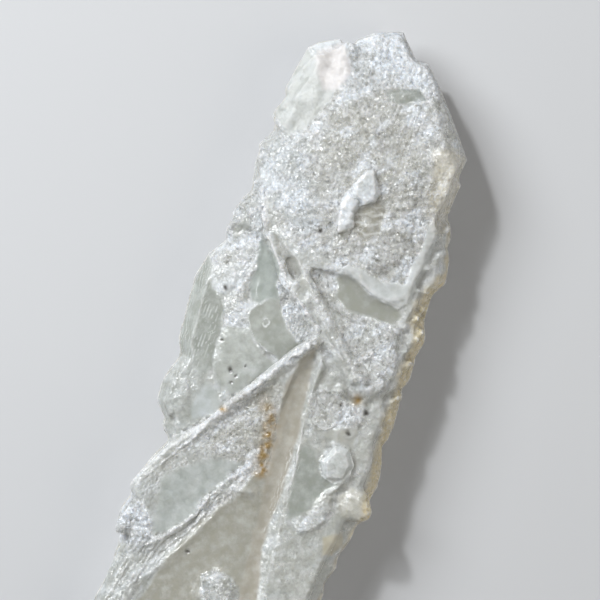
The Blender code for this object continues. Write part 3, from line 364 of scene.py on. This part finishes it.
# Etch hillocks: size, stretch along the group's length and height
HILLOCKS = [
    (1.9, 1.7, 0.3),
    (1.0, 1.5, 0.2),
    (0.6, 1.3, 0.12),
]
HILLOCK_MIDDLE = 0.45
HILLOCK_PATCH_SIZE = 4.0
GROWTH_STEPS = 3.0
GROWTH_STEP_SIZE = 3.0
GROWTH_STEP_HEIGHT = 0.09
GROWTH_STEP_SQUASH = np.array([1.0, 0.6, 1.0])

# Crumbs: size and share of the height
CRUMBS = [(1.3, 0.6), (0.7, 0.4)]
CRUMB_MIDDLE = 0.3
SWELL_SIZE = 2.2
SWELL_HEIGHT = 0.05

# Painted highlight on crests and painted shade in gaps: rounds of smoothing that they stand out from, the full
# height and the weight
RELIEF_SCALES = [(3, 0.09, 0.6), (12, 0.2, 0.6)]
SMOOTH_SHADED = 0.3


def smooth_step(low, high, value):
    share = np.clip((value - low) / (high - low), 0.0, 1.0)
    return share * share * (3.0 - 2.0 * share)


def blend_to(layer, value, weight):
    return layer + (value - layer) * weight


def hashed(cell, seed):
    """A steady random number from 0 to 1 for each whole-number cell."""
    mixed = cell[:, 0] * 73856093 ^ cell[:, 1] * 19349663 ^ cell[:, 2] * 83492791 ^ seed * 26544357
    mixed = (mixed ^ (mixed >> 13)) * 1274126177
    mixed = (mixed ^ (mixed >> 15)) * 974634777
    return ((mixed ^ (mixed >> 16)) & 0xFFFF) / 0xFFFF


def corners(reach):
    steps = range(-reach, reach + 1) if reach else range(2)
    return [(i, j, k) for i in steps for j in steps for k in steps]


def cloud(points, size, seed):
    """Smooth noise from -1 to 1 whose patches have about that size."""
    place = points / size
    cell = np.floor(place).astype(np.int64)
    part = place - cell
    part = part * part * (3.0 - 2.0 * part)
    total = np.zeros(len(points))
    for corner in corners(0):
        weight = np.ones(len(points))
        for axis, side in enumerate(corner):
            weight *= part[:, axis] if side else 1.0 - part[:, axis]
        total += weight * hashed(cell + np.array(corner), seed)
    return 2.0 * total - 1.0


def hillock_field(points, size, stretch, seed):
    """Low faceted pyramids that crowd over the surface, from about 0 in their gaps to 1 at their tips."""
    place = points / np.array([size, size * stretch, size])
    cell = np.floor(place).astype(np.int64)
    best = np.full(len(points), -1.0)
    for corner in corners(1):
        near = cell + np.array(corner)
        centre = near + np.stack([hashed(near, seed + axis) for axis in range(3)], axis=1)
        offset = place - centre
        turn = math.pi * hashed(near, seed + 3)
        across = offset[:, 0] * np.cos(turn) + offset[:, 1] * np.sin(turn)
        along = offset[:, 1] * np.cos(turn) - offset[:, 0] * np.sin(turn)
        steep = np.abs(along)
        for slant in (-1.0, 1.0):
            steep = np.maximum(steep, np.abs(0.87 * across + slant * 0.5 * along))
        steep = np.maximum(steep, np.abs(offset[:, 2]))
        best = np.maximum(best, 0.7 + 0.3 * hashed(near, seed + 4) - steep)
    return np.clip(best, 0.0, 1.0)


def outline_depth(points, outline):
    """How far each plan point is inside an outline, in millimetres; outside it is negative."""
    corner = np.array(outline)
    following = np.roll(corner, -1, axis=0)
    nearest = np.full(len(points), 1e9)
    inside = np.zeros(len(points), bool)
    for start, end in zip(corner, following):
        side = end - start
        offset = points - start
        share = np.clip(offset @ side / (side @ side), 0.0, 1.0)
        nearest = np.minimum(nearest, np.hypot(*(offset - share[:, None] * side).T))
        crosses = (start[1] > points[:, 1]) != (end[1] > points[:, 1])
        rise = side[1] if side[1] else 1e-9
        inside ^= crosses & (points[:, 0] < start[0] + (points[:, 1] - start[1]) / rise * side[0])
    return np.where(inside, nearest, -nearest)


def route_distance(points, route):
    """Each plan point's distance from a route, and where it is along it, from 0 to 1."""
    corner = np.array(route)
    lengths = np.hypot(*(corner[1:] - corner[:-1]).T)
    before = np.concatenate([[0.0], np.cumsum(lengths)])
    nearest = np.full(len(points), 1e9)
    place = np.zeros(len(points))
    for number, (start, end) in enumerate(zip(corner[:-1], corner[1:])):
        side = end - start
        offset = points - start
        share = np.clip(offset @ side / (side @ side), 0.0, 1.0)
        distance = np.hypot(*(offset - share[:, None] * side).T)
        closer = distance < nearest
        nearest = np.where(closer, distance, nearest)
        place = np.where(closer, (before[number] + share * lengths[number]) / before[-1], place)
    return nearest, place


def bell(distance, width):
    """1 on a line or at a spot, and about 0 at twice its width."""
    return np.exp(-((distance / width) ** 2))


def plan_wobble(points, size, seed):
    """A steady shift in the plan for each point, which makes drawn edges ragged."""
    return np.stack([cloud(points, size, seed), cloud(points, size, seed + 1)], axis=1)


def face_layers(points, up):
    """How milky, tinted and etched the surface is at each point."""
    wobble = plan_wobble(points, RAGGED_SIZE, 11)
    layers = {name: np.full(len(points), TOP_BASE[name]) for name in LAYERS}
    for name, feather, values, outline in FACES:
        plan = points[:, :2] + RAGGED * feather * wobble
        weight = smooth_step(-feather, feather, outline_depth(plan, OUTLINES[name]))
        for layer, value in values.items():
            layers[layer] = blend_to(layers[layer], value, weight)
    front = smooth_step(*FRONT_SLOPE, up)
    head_depth = outline_depth(points[:, :2] + HEAD_RAGGED * wobble, OUTLINES["head"])
    inner = smooth_step(*HEAD_INNER, head_depth) * (points[:, 2] > HEAD_FLOOR)
    for name in LAYERS:
        layers[name] = blend_to(SIDE_BASE[name], layers[name], np.maximum(front, inner))
    add_sugar(layers, points, wobble, front)
    add_snow(layers, points)
    return layers


def add_sugar(layers, points, wobble, front):
    """White crumbly crystals in clusters along the whitest lines, fewer towards each line's end."""
    patches = cloud(points, CLUSTER_SIZE, 13)
    for name, width, rise, whiteness, route in LINES:
        if whiteness > SUGARY:
            distance, place = route_distance(points[:, :2] + SUGAR_WOBBLE * wobble, ROUTES[name])
            clusters = smooth_step(*CLUSTERED, patches + 0.5 - place)
            near = bell(distance, SUGAR_REACH) * front * (SUGAR_LEAST + (1.0 - SUGAR_LEAST) * clusters)
            layers["crumb"] = np.maximum(layers["crumb"], near)
            layers["etch"] = np.maximum(layers["etch"], SUGAR_ETCH * near)
            layers["milk"] = np.maximum(layers["milk"], near)


def add_snow(layers, points):
    """Whiter patches with more painted cool sheen, and barer, browner ones, as far as the face is etched."""
    etched = np.clip(layers["etch"], 0.0, 1.0)
    snow = snow_field(points)
    white = smooth_step(*SNOWY, snow) * etched
    bare = smooth_step(*BARE, snow) * etched
    layers["milk"] = blend_to(blend_to(layers["milk"], 1.0, 0.75 * white), 0.25, 0.55 * bare)
    layers["cool_sheen"] = blend_to(layers["cool_sheen"], 0.9, 0.6 * white)
    layers["tan"] = blend_to(layers["tan"], 0.8, 0.45 * bare)
    layers["etch"] = layers["etch"] * (1.0 + 0.25 * white - 0.2 * bare)


def snow_field(points):
    """Patches that run along the terraces, from about -1 where the face is bare to 1 where it is white."""
    along = points[:, 0] * math.cos(SNOW_TURN) + points[:, 1] * math.sin(SNOW_TURN)
    across = points[:, 1] * math.cos(SNOW_TURN) - points[:, 0] * math.sin(SNOW_TURN)
    turned = np.stack([along / SNOW_LENGTH, across / SNOW_WIDTH, points[:, 2] / SNOW_WIDTH], axis=1)
    return 0.75 * cloud(turned, 1.0, 14) + 0.45 * cloud(turned, SNOW_GRAIN, 15)


def line_relief(points, up):
    """Height and whiteness of the fine lines, the growth lines and the ring, and the stains and specks."""
    plan = points[:, :2] + LINE_WOBBLE * plan_wobble(points, LINE_WOBBLE_SIZE, 21)
    marks = {name: np.zeros(len(points)) for name in ("height", "white", "ochre", "dark")}
    add_lines(marks, points, plan)
    add_stripes(marks, points, plan)
    add_ring(marks, plan)
    add_dots(marks, plan)
    add_stain(marks, points, plan)
    front = smooth_step(*MARKED_SLOPE, up)
    return [layer * front for layer in marks.values()]


def add_lines(marks, points, plan):
    uneven = 0.65 + 0.55 * cloud(points, 0.8, 23)
    for name, width, rise, whiteness, route in LINES:
        distance, place = route_distance(plan, ROUTES[name])
        taper = smooth_step(0.0, LINE_TAPER, place) * smooth_step(0.0, LINE_TAPER, 1.0 - place)
        line = bell(distance, width) * (LINE_LEAST + (1.0 - LINE_LEAST) * taper) * uneven
        marks["height"] += rise * line
        marks["white"] = np.maximum(marks["white"], whiteness * line)


def add_stripes(marks, points, plan):
    for name, start, end, half_width, spacing, rise in STRIATED:
        distance, place = route_distance(plan, [start, end])
        direction = (np.array(end) - np.array(start)) / math.dist(start, end)
        offset = plan - np.array(start)
        across = offset[:, 0] * direction[1] - offset[:, 1] * direction[0]
        wander = cloud(points, 4.0 * spacing, 25) + cloud(points, 1.5 * spacing, 27)
        across = across + STRIPE_WANDER * spacing * wander
        stripes = np.abs(np.sin(math.pi * across / spacing)) ** 1.5
        strength = smooth_step(half_width, 0.6 * half_width, distance)
        strength *= 0.55 + 0.45 * cloud(points, STRIPE_PATCH_SIZE, 24)
        marks["height"] += rise * stripes * strength
        whiteness = STRIPE_WHITENESS * smooth_step(0.7, 1.0, stripes) * strength
        marks["white"] = np.maximum(marks["white"], whiteness)


def add_ring(marks, plan):
    centre = np.array(photo_places([RING_CENTRE])[0])
    ring = bell(np.hypot(*(plan - centre).T) - RING_RADIUS, RING_WIDTH)
    marks["height"] += RING_HEIGHT * ring
    marks["white"] = np.maximum(marks["white"], RING_WHITENESS * ring)


def add_dots(marks, plan):
    for pixel, radius, depth, kind in DOTS:
        centre = np.array(photo_places([pixel])[0])
        dot = bell(np.hypot(*(plan - centre).T), radius)
        marks["height"] -= depth * dot
        marks[kind] = np.maximum(marks[kind], dot)


def add_stain(marks, points, plan):
    distance, place = route_distance(plan, photo_places(STAIN_ROUTE))
    patchy = 0.45 + 0.55 * smooth_step(-0.2, 0.4, cloud(points, STAIN_GRAIN, 26))
    stain = bell(distance, STAIN_WIDTH) * patchy * smooth_step(-0.1, 0.4, place)
    marks["ochre"] = np.maximum(marks["ochre"], stain)


def etch_relief(points, etch_level):
    """Height of the etching: crowded hillocks of several sizes, and growth steps between them."""
    height = np.zeros(len(points))
    for number, (size, stretch, rise) in enumerate(HILLOCKS):
        height += rise * (hillock_field(points, size, stretch, 31 + 7 * number) - HILLOCK_MIDDLE)
    patches = 0.75 + 0.45 * cloud(points, HILLOCK_PATCH_SIZE, 51)
    steps = cloud(points * GROWTH_STEP_SQUASH, GROWTH_STEP_SIZE, 52) * GROWTH_STEPS
    whole = np.floor(steps)
    stepped = whole + smooth_step(0.75, 1.0, steps - whole)
    return (height * patches + GROWTH_STEP_HEIGHT * (stepped - steps)) * etch_level


def crumb_relief(points):
    height = np.full(len(points), -CRUMB_MIDDLE)
    for number, (size, share) in enumerate(CRUMBS):
        height += share * hillock_field(points, size, 1.0, 71 + number)
    return height


def vertex_array(mesh, attribute):
    values = np.empty(len(mesh.vertices) * 3)
    mesh.vertices.foreach_get(attribute, values)
    return values.reshape(-1, 3)


def apply_modifiers(obj, name):
    """A plain mesh of what the object's modifiers make."""
    bpy.context.view_layer.update()
    evaluated = obj.evaluated_get(bpy.context.evaluated_depsgraph_get())
    mesh = bpy.data.meshes.new_from_object(evaluated)
    mesh.name = name
    return mesh


def even_skin(node):
    """The solid's surface as an even mesh of small faces, with its narrow hollows filled."""
    shape = bmesh.new()
    shape.from_mesh(node.data)
    for centre, radii in FILLINGS:
        filling = Matrix.Translation(Vector(centre) * MM) @ Matrix.Diagonal((*(Vector(radii) * MM), 1.0))
        bmesh.ops.create_icosphere(shape, subdivisions=3, radius=1.0, matrix=filling)
    mesh = bpy.data.meshes.new(SKIN)
    shape.to_mesh(mesh)
    shape.free()
    skin = bpy.data.objects.new(SKIN, mesh)
    bpy.context.scene.collection.objects.link(skin)
    remesh(skin, CLOSING_VOXEL)
    swell(skin, CLOSING)
    remesh(skin, VOXEL)
    swell(skin, -CLOSING)
    sharpen(skin, node)
    return skin


def sharpen(skin, node):
    """Puts the points that lie close to the solid's own faces back on them, so its edges stay crisp."""
    tree = BVHTree.FromObject(node, bpy.context.evaluated_depsgraph_get())
    points = vertex_array(skin.data, "co")
    nearest = points.copy()
    away = np.full(len(points), 1.0)
    for number, point in enumerate(points):
        place, normal, face, distance = tree.find_nearest(point)
        nearest[number] = place
        away[number] = distance / MM
    back = 1.0 - smooth_step(SNAP_REACH, 2.0 * SNAP_REACH, away)
    points = points + back[:, None] * (nearest - points)
    skin.data.vertices.foreach_set("co", points.ravel())
    skin.data.update()


def remesh(skin, size):
    """Makes the skin anew of small faces of one size."""
    even = skin.modifiers.new("even_faces", "REMESH")
    even.mode = "VOXEL"
    even.voxel_size = size * MM
    even.use_smooth_shade = True
    skin.data = apply_modifiers(skin, SKIN)
    skin.modifiers.clear()


def swell(skin, distance):
    """Moves every point out along its normal; out and back in again closes what is narrower."""
    points = vertex_array(skin.data, "co") + vertex_array(skin.data, "normal") * distance * MM
    skin.data.vertices.foreach_set("co", points.ravel())
    skin.data.update()


def soften(skin):
    """Melts the solid's small pits and rods into their faces, except where a crystal keeps its edges."""
    mesh = skin.data
    points = vertex_array(mesh, "co") / MM
    normals = vertex_array(mesh, "normal")
    soft = face_layers(points, normals[:, 2])["soft"]
    facing = smooth_step(-0.5, 0.0, normals[:, 2]) * (points[:, 2] > HEAD_FLOOR)
    for name, route in ROUTES.items():
        if name not in KEPT_SHARP:
            distance, place = route_distance(points[:, :2], route)
            soft = np.maximum(soft, bell(distance, CREST_REACH) * facing)
    soft *= smooth_step(0.0, 1.0, points[:, 2])
    points = smoothed_points(points, edge_ends(mesh), SOFT_ROUNDS, soft[:, None])
    mesh.vertices.foreach_set("co", (points * MM).ravel())
    mesh.update()


def etch(skin):
    """Moves the skin's points out and in, by what each face of the group shows."""
    mesh = skin.data
    points = vertex_array(mesh, "co") / MM
    normals = vertex_array(mesh, "normal")
    layers = face_layers(points, normals[:, 2])
    lines, white, ochre, dark = line_relief(points, normals[:, 2])
    height = etch_relief(points, layers["etch"]) + lines + layers["rise"]
    height += layers["crumb"] * crumb_relief(points)
    height += SWELL_HEIGHT * cloud(points, SWELL_SIZE, 61)
    height *= smooth_step(0.0, FLOOR_CLEARANCE, points[:, 2])
    points = points + normals * height[:, None]
    points[:, 2] = np.maximum(points[:, 2], 0.0)
    mesh.vertices.foreach_set("co", (points * MM).ravel())
    mesh.update()


def thin_out(skin):
    """Fewer faces on the sides and the back, all of them on the etched front."""
    normals = vertex_array(skin.data, "normal")
    may_go = 1.0 - smooth_step(*THINNED_SLOPE, normals[:, 2])
    group = skin.vertex_groups.new(name="may_go")
    steps = np.round(may_go * THINNING_STEPS).astype(int)
    for step in range(1, THINNING_STEPS + 1):
        indices = np.nonzero(steps == step)[0].tolist()
        group.add(indices, step / THINNING_STEPS, "REPLACE")
    triangles = sum(len(polygon.vertices) - 2 for polygon in skin.data.polygons)
    decimate = skin.modifiers.new("fewer_faces", "DECIMATE")
    decimate.ratio = min(1.0, TRIANGLE_BUDGET / triangles)
    decimate.vertex_group = group.name
    decimate.use_collapse_triangulate = True
    skin.data = apply_modifiers(skin, SKIN)
    skin.modifiers.clear()
    skin.vertex_groups.clear()
    points = vertex_array(skin.data, "co")
    points[:, 2] = np.maximum(points[:, 2], 0.0)
    skin.data.vertices.foreach_set("co", points.ravel())


def edge_ends(mesh):
    ends = np.empty(len(mesh.edges) * 2, np.int64)
    mesh.edges.foreach_get("vertices", ends)
    return ends.reshape(-1, 2)


def smoothed_points(points, edges, rounds, share=1.0):
    """The points after each has moved half way to the middle of its neighbours a few times."""
    count = np.bincount(edges.ravel(), minlength=len(points))[:, None]
    for _ in range(rounds):
        total = np.zeros_like(points)
        for axis in range(3):
            total[:, axis] = np.bincount(edges[:, 0], points[edges[:, 1], axis], len(points))
            total[:, axis] += np.bincount(edges[:, 1], points[edges[:, 0], axis], len(points))
        points = points + 0.5 * share * (total / count - points)
    return points


def store(mesh, name, values):
    attribute = mesh.attributes.new(name, "FLOAT", "POINT")
    attribute.data.foreach_set("value", np.clip(values, 0.0, 1.0).astype(np.float32))


def paint(skin):
    """Stores what the material reads: milk, tints, stains, etching, and painted highlight on crests, shade in
    gaps.
    """
    mesh = skin.data
    points = vertex_array(mesh, "co") / MM
    normals = vertex_array(mesh, "normal")
    edges = edge_ends(mesh)
    crest = np.zeros(len(points))
    hollow_shade = np.zeros(len(points))
    # Points proud of their smoothed neighbours get a painted highlight, sunk ones painted shade
    for rounds, full_height, weight in RELIEF_SCALES:
        away = points - smoothed_points(points, edges, rounds)
        proud = np.einsum("ij,ij->i", away, normals)
        crest += weight * smooth_step(0.0, full_height, proud)
        hollow_shade += weight * smooth_step(0.0, full_height, -proud)
    layers = face_layers(points, normals[:, 2])
    lines, white, ochre, dark = line_relief(points, normals[:, 2])
    stored = {**layers, "line": white, "ochre": ochre, "speck": dark, "crest": crest, "hollow_shade": hollow_shade}
    for name, values in stored.items():
        store(mesh, name, values)
    corner = np.empty(len(mesh.loops), np.int64)
    mesh.loops.foreach_get("vertex_index", corner)
    first = np.empty(len(mesh.polygons), np.int64)
    mesh.polygons.foreach_get("loop_start", first)
    mesh.polygons.foreach_set("use_smooth", layers["etch"][corner[first]] < SMOOTH_SHADED)
    mesh.update()


# Nodes: how far each pattern's cells are shifted, and the size of what shifts them, in millimetres
WANDER_SIZE = 0.6
CELL_SHIFT = 0.7


class Nodes:
    """Short calls for building a material's nodes."""

    def __init__(self, name):
        self.material = bpy.data.materials.new(name)
        self.material.use_nodes = True
        self.tree = self.material.node_tree
        self.shader = self.tree.nodes["Principled BSDF"]
        self.drift = None
        self.cell_shade = None

    def plug(self, socket, value):
        if isinstance(value, bpy.types.NodeSocket):
            self.tree.links.new(value, socket)
        else:
            socket.default_value = value

    def attribute(self, name):
        node = self.tree.nodes.new("ShaderNodeAttribute")
        node.attribute_name = name
        return node.outputs["Fac"]

    def maths(self, operation, first, second=0.0, clamp=False):
        node = self.tree.nodes.new("ShaderNodeMath")
        node.operation = operation
        node.use_clamp = clamp
        self.plug(node.inputs[0], first)
        self.plug(node.inputs[1], second)
        return node.outputs[0]

    def spread(self, value, low, high, new_low, new_high):
        """The value's place between low and high, as one between new_low and new_high."""
        node = self.tree.nodes.new("ShaderNodeMapRange")
        for socket, item in zip(node.inputs, (value, low, high, new_low, new_high)):
            self.plug(socket, item)
        return node.outputs[0]

    def colour(self, factor, first, second):
        """A colour between two, nearer the second as the factor nears 1."""
        node = self.tree.nodes.new("ShaderNodeMix")
        node.data_type = "RGBA"
        self.plug(node.inputs[0], factor)
        self.plug(node.inputs[6], first)
        self.plug(node.inputs[7], second)
        return node.outputs[2]

    def place(self):
        return self.tree.nodes.new("ShaderNodeTexCoord").outputs["Object"]

    def noise(self, size, detail=2.0, seed=0.0):
        node = self.tree.nodes.new("ShaderNodeTexNoise")
        node.noise_dimensions = "4D"
        self.plug(node.inputs["Vector"], self.place())
        self.plug(node.inputs["W"], seed)
        self.plug(node.inputs["Scale"], 1.0 / (size * MM))
        self.plug(node.inputs["Detail"], detail)
        return node.outputs[0]

    def threads(self, size, seed, width):
        """Thin winding lines, where a noise passes through its middle value."""
        away = self.maths("ABSOLUTE", self.maths("SUBTRACT", self.noise(size, 1.0, seed), 0.5))
        return self.spread(away, 0.0, width, 1.0, 0.0)

    def wander(self):
        """A random direction that drifts over the surface, one for all patterns."""
        if self.drift is None:
            node = self.tree.nodes.new("ShaderNodeTexNoise")
            self.plug(node.inputs["Vector"], self.place())
            self.plug(node.inputs["Scale"], 1.0 / (WANDER_SIZE * MM))
            self.plug(node.inputs["Detail"], 1.0)
            self.drift = node.outputs["Color"]
        return self.drift

    def crackle(self, size, width):
        """Thin lines between small irregular cells."""
        shifted = self.vector("MULTIPLY_ADD", self.wander(), (size * MM,) * 3, self.place())
        cells = self.tree.nodes.new("ShaderNodeTexVoronoi")
        cells.feature = "DISTANCE_TO_EDGE"
        self.plug(cells.inputs["Vector"], shifted)
        self.plug(cells.inputs["Scale"], 1.0 / (size * MM))
        return self.spread(cells.outputs["Distance"], 0.0, width, 1.0, 0.0)

    def facets(self, kinds, strength):
        """A normal that tips a different way on each small crystal face. Each kind is size, tilt and seed."""
        normal = self.tree.nodes.new("ShaderNodeNewGeometry").outputs["Normal"]
        for size, tilt, seed in kinds:
            shifted = self.vector("MULTIPLY_ADD", self.wander(), (size * MM * CELL_SHIFT,) * 3, self.place())
            cells = self.tree.nodes.new("ShaderNodeTexVoronoi")
            cells.voronoi_dimensions = "4D"
            self.plug(cells.inputs["Vector"], shifted)
            self.plug(cells.inputs["W"], seed)
            self.plug(cells.inputs["Scale"], 1.0 / (size * MM))
            lean = self.vector("SUBTRACT", cells.outputs["Color"], (0.5,) * 3)
            amount = self.maths("MULTIPLY", strength, tilt)
            scaled = self.vector("SCALE", lean, None, None, amount)
            normal = self.vector("ADD", normal, scaled)
        self.cell_shade = cells.outputs["Color"]
        return self.vector("NORMALIZE", normal)

    def vector(self, operation, first, second=None, third=None, scale=None):
        node = self.tree.nodes.new("ShaderNodeVectorMath")
        node.operation = operation
        for socket, value in zip(node.inputs, (first, second, third, scale)):
            if value is not None:
                self.plug(socket, value)
        return node.outputs[0]

    def bump(self, height, distance, strength, normal=None):
        node = self.tree.nodes.new("ShaderNodeBump")
        self.plug(node.inputs["Height"], height)
        node.inputs["Distance"].default_value = distance * MM
        self.plug(node.inputs["Strength"], strength)
        if normal is not None:
            self.plug(node.inputs["Normal"], normal)
        return node.outputs[0]


# Colours
WHITE = (0.89, 0.925, 0.95, 1.0)
CLEAR = (0.61, 0.63, 0.58, 1.0)
GREEN = (0.545, 0.61, 0.55, 1.0)
TAN = (0.61, 0.59, 0.48, 1.0)
# Painted warm glow of light shining through the sides and crust
WARM_GLOW = (0.84, 0.71, 0.41, 1.0)
# Painted cool sheen of the window light
COOL_SHEEN = (0.79, 0.88, 1.0, 1.0)
PINK = (0.86, 0.70, 0.66, 1.0)
# Painted highlight on crests and along the etching's threads, then painted shade in gaps
HIGHLIGHT_WHITE = (0.97, 0.97, 0.98, 1.0)
HOLLOW_SHADE = (0.30, 0.29, 0.27, 1.0)
# Colour of the painted shade on facet cells
CELL_SHADE_COLOUR = (0.48, 0.485, 0.47, 1.0)
OCHRE = (0.47, 0.29, 0.06, 1.0)
SPECK = (0.06, 0.05, 0.04, 1.0)
TINTS = (("warm_glow", 0.95, WARM_GLOW), ("pink", 0.8, PINK), ("hollow_shade", 0.5, HOLLOW_SHADE), ("crest", 0.85, HIGHLIGHT_WHITE))
FLOOR_COLOUR = (0.57, 0.58, 0.595, 1.0)
FLOOR_ROUGHNESS = 0.7

# Quartz: optical values, and sizes of its patterns in millimetres
QUARTZ_IOR = 1.544
QUARTZ_SPECULAR = 0.8
INNER_GLOW = 0.4
GLOW_RADIUS = (1.0, 0.95, 0.85)
GLOW_REACH = 1.4
MOTTLE_SIZE = 1.6
FACET_KINDS = ((0.62, 0.6, 0.0), (0.35, 0.75, 4.0))
THREAD_SIZE = 0.8
THREAD_WIDTH = 0.05
CRACKLE_SIZE = 0.62
CRACKLE_WIDTH = 0.1
THREAD_HEIGHT = 0.08
FROST_ROUGHNESS = 0.3


def quartz_material():
    """Frosted to glassy quartz, by the faces' stored values."""
    nodes = Nodes("etched_quartz")
    shader = nodes.shader
    etch_level = nodes.attribute("etch")
    mottle = nodes.noise(MOTTLE_SIZE, 3.0)
    facets = nodes.facets(FACET_KINDS, nodes.maths("ADD", etch_level, 0.04))
    threads = quartz_threads(nodes, mottle)
    mottled = nodes.spread(mottle, 0.3, 0.7, -0.15, 0.15)
    milk = nodes.maths("ADD", nodes.attribute("milk"), mottled, clamp=True)
    milk = nodes.maths("MAXIMUM", milk, nodes.attribute("line"))
    nodes.plug(shader.inputs["Base Color"], quartz_colour(nodes, etch_level, milk, threads))

    rough = nodes.spread(etch_level, 0.0, 1.0, 0.17, 0.3)
    rough = nodes.maths("ADD", rough, nodes.spread(mottle, 0.3, 0.7, -0.08, 0.08))
    rough = nodes.maths("ADD", rough, nodes.maths("MULTIPLY", nodes.attribute("frost"), FROST_ROUGHNESS))
    nodes.plug(shader.inputs["Roughness"], rough)
    nodes.plug(shader.inputs["Transmission Weight"], nodes.spread(milk, 0.1, 0.9, 0.55, 0.15))
    relief = nodes.spread(etch_level, 0.0, 1.0, 0.06, 1.0)
    nodes.plug(shader.inputs["Normal"], nodes.bump(threads, THREAD_HEIGHT, relief, facets))

    shader.inputs["IOR"].default_value = QUARTZ_IOR
    shader.inputs["Specular IOR Level"].default_value = QUARTZ_SPECULAR
    shader.inputs["Subsurface Weight"].default_value = INNER_GLOW
    shader.inputs["Subsurface Radius"].default_value = GLOW_RADIUS
    shader.inputs["Subsurface Scale"].default_value = GLOW_REACH * MM
    return nodes.material


def quartz_threads(nodes, mottle):
    """Fine lines of the etching, thicker on the mottle's pale side; the colour whitens along them as painted
    glints.
    """
    winding = nodes.threads(THREAD_SIZE, 4.0, THREAD_WIDTH)
    threads = nodes.maths("MAXIMUM", winding, nodes.crackle(CRACKLE_SIZE, CRACKLE_WIDTH))
    return nodes.maths("MULTIPLY", threads, nodes.spread(mottle, 0.4, 0.58, 0.3, 1.0))


def quartz_colour(nodes, etch_level, milk, threads):
    """Clear to white by the milk, then tints, painted highlight on crests, painted shade in gaps and cells,
    painted glints on threads, stains, specks.
    """
    clear = nodes.colour(nodes.attribute("green"), CLEAR, GREEN)
    clear = nodes.colour(nodes.attribute("tan"), clear, TAN)
    white = nodes.colour(nodes.attribute("cool_sheen"), WHITE, COOL_SHEEN)
    colour = nodes.colour(milk, clear, white)
    for name, strength, tint in TINTS:
        colour = nodes.colour(nodes.maths("MULTIPLY", nodes.attribute(name), strength), colour, tint)
    # Painted shade on the facet cells whose random colour, the one that tilts the smallest facets, is low
    shaded_cells = nodes.maths("MULTIPLY", nodes.spread(nodes.cell_shade, 0.25, 0.55, 0.5, 0.0), etch_level)
    colour = nodes.colour(shaded_cells, colour, CELL_SHADE_COLOUR)
    # Painted glints: the threads whiten the colour, more where the face is etched
    thread_highlight = nodes.maths("MULTIPLY", threads, nodes.spread(etch_level, 0.05, 0.8, 0.06, 0.85))
    colour = nodes.colour(thread_highlight, colour, HIGHLIGHT_WHITE)
    colour = nodes.colour(nodes.maths("MULTIPLY", nodes.attribute("ochre"), 0.95), colour, OCHRE)
    return nodes.colour(nodes.attribute("speck"), colour, SPECK)


def plain_material(name, colour, roughness):
    nodes = Nodes(name)
    nodes.shader.inputs["Base Color"].default_value = colour
    nodes.shader.inputs["Roughness"].default_value = roughness
    return nodes.material


# Floor
FLOOR_HALF = 2.0
FLOOR_DROP = 0.02


def make_floor():
    mesh = bpy.data.meshes.new("floor")
    corners_round = [(-1, -1), (1, -1), (1, 1), (-1, 1)]
    mesh.from_pydata([(FLOOR_HALF * x, FLOOR_HALF * y, 0) for x, y in corners_round], [], [(0, 1, 2, 3)])
    floor = bpy.data.objects.new("floor", mesh)
    floor.location.z = -FLOOR_DROP * MM
    bpy.context.scene.collection.objects.link(floor)
    mesh.materials.append(plain_material("floor", FLOOR_COLOUR, FLOOR_ROUGHNESS))


# Lights: direction as the photo sees it (right, up, out), distance and size in metres, power and colour
LIGHTS = [
    ("window", (-0.75, 0.6, 0.85), 0.6, 0.34, 2.95, (0.96, 0.98, 1.0)),
    ("glints", (-0.5, 0.75, 0.9), 0.7, 0.06, 1.9, (0.98, 0.99, 1.0)),
    ("fill", (0.9, -0.3, 0.8), 0.7, 0.6, 1.0, (1.0, 0.93, 0.82)),
]
STUDIO_STRENGTH = 0.25


def photo_direction(right, up, out):
    """A direction given as the photo sees it, in the part's frame."""
    across = Vector((math.cos(VIEW_TURN), math.sin(VIEW_TURN), 0.0))
    upward = Vector((-math.sin(VIEW_TURN), math.cos(VIEW_TURN), 0.0))
    return (right * across + up * upward + out * Vector((0.0, 0.0, 1.0))).normalized()


def make_light(name, direction, distance, size, power, colour):
    data = bpy.data.lights.new(name, "AREA")
    data.shape = "DISK"
    data.size = size
    data.energy = power
    data.color = colour
    light = bpy.data.objects.new(name, data)
    towards = photo_direction(*direction)
    light.location = Vector(VIEW_CENTRE) * MM + towards * distance
    light.rotation_euler = towards.to_track_quat("Z", "Y").to_euler()
    bpy.context.scene.collection.objects.link(light)


def make_lights():
    for settings in LIGHTS:
        make_light(*settings)
    world = bpy.data.worlds.new("studio")
    world.use_nodes = True
    background = world.node_tree.nodes["Background"]
    background.inputs["Color"].default_value = (1.0, 1.0, 1.0, 1.0)
    background.inputs["Strength"].default_value = STUDIO_STRENGTH
    bpy.context.scene.world = world
    bpy.context.scene.view_settings.view_transform = "Standard"


def make_camera():
    data = bpy.data.cameras.new("camera")
    data.lens = LENS
    data.sensor_width = SENSOR
    data.clip_start = NEAREST
    data.clip_end = FARTHEST
    camera = bpy.data.objects.new("camera", data)
    centre = Vector(VIEW_CENTRE) * MM
    distance = VIEW_WIDTH * MM * LENS / SENSOR
    camera.location = centre + Vector((0.0, 0.0, distance))
    camera.rotation_euler = (0.0, 0.0, VIEW_TURN)
    bpy.context.scene.collection.objects.link(camera)
    bpy.context.scene.camera = camera


def main():
    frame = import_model()
    skin = even_skin(frame["nodes"][NODE])
    soften(skin)
    etch(skin)
    thin_out(skin)
    paint(skin)
    skin.data.materials.clear()
    skin.data.materials.append(quartz_material())
    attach(skin, "root")
    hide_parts(NODE)
    make_floor()
    make_lights()
    make_camera()


main()
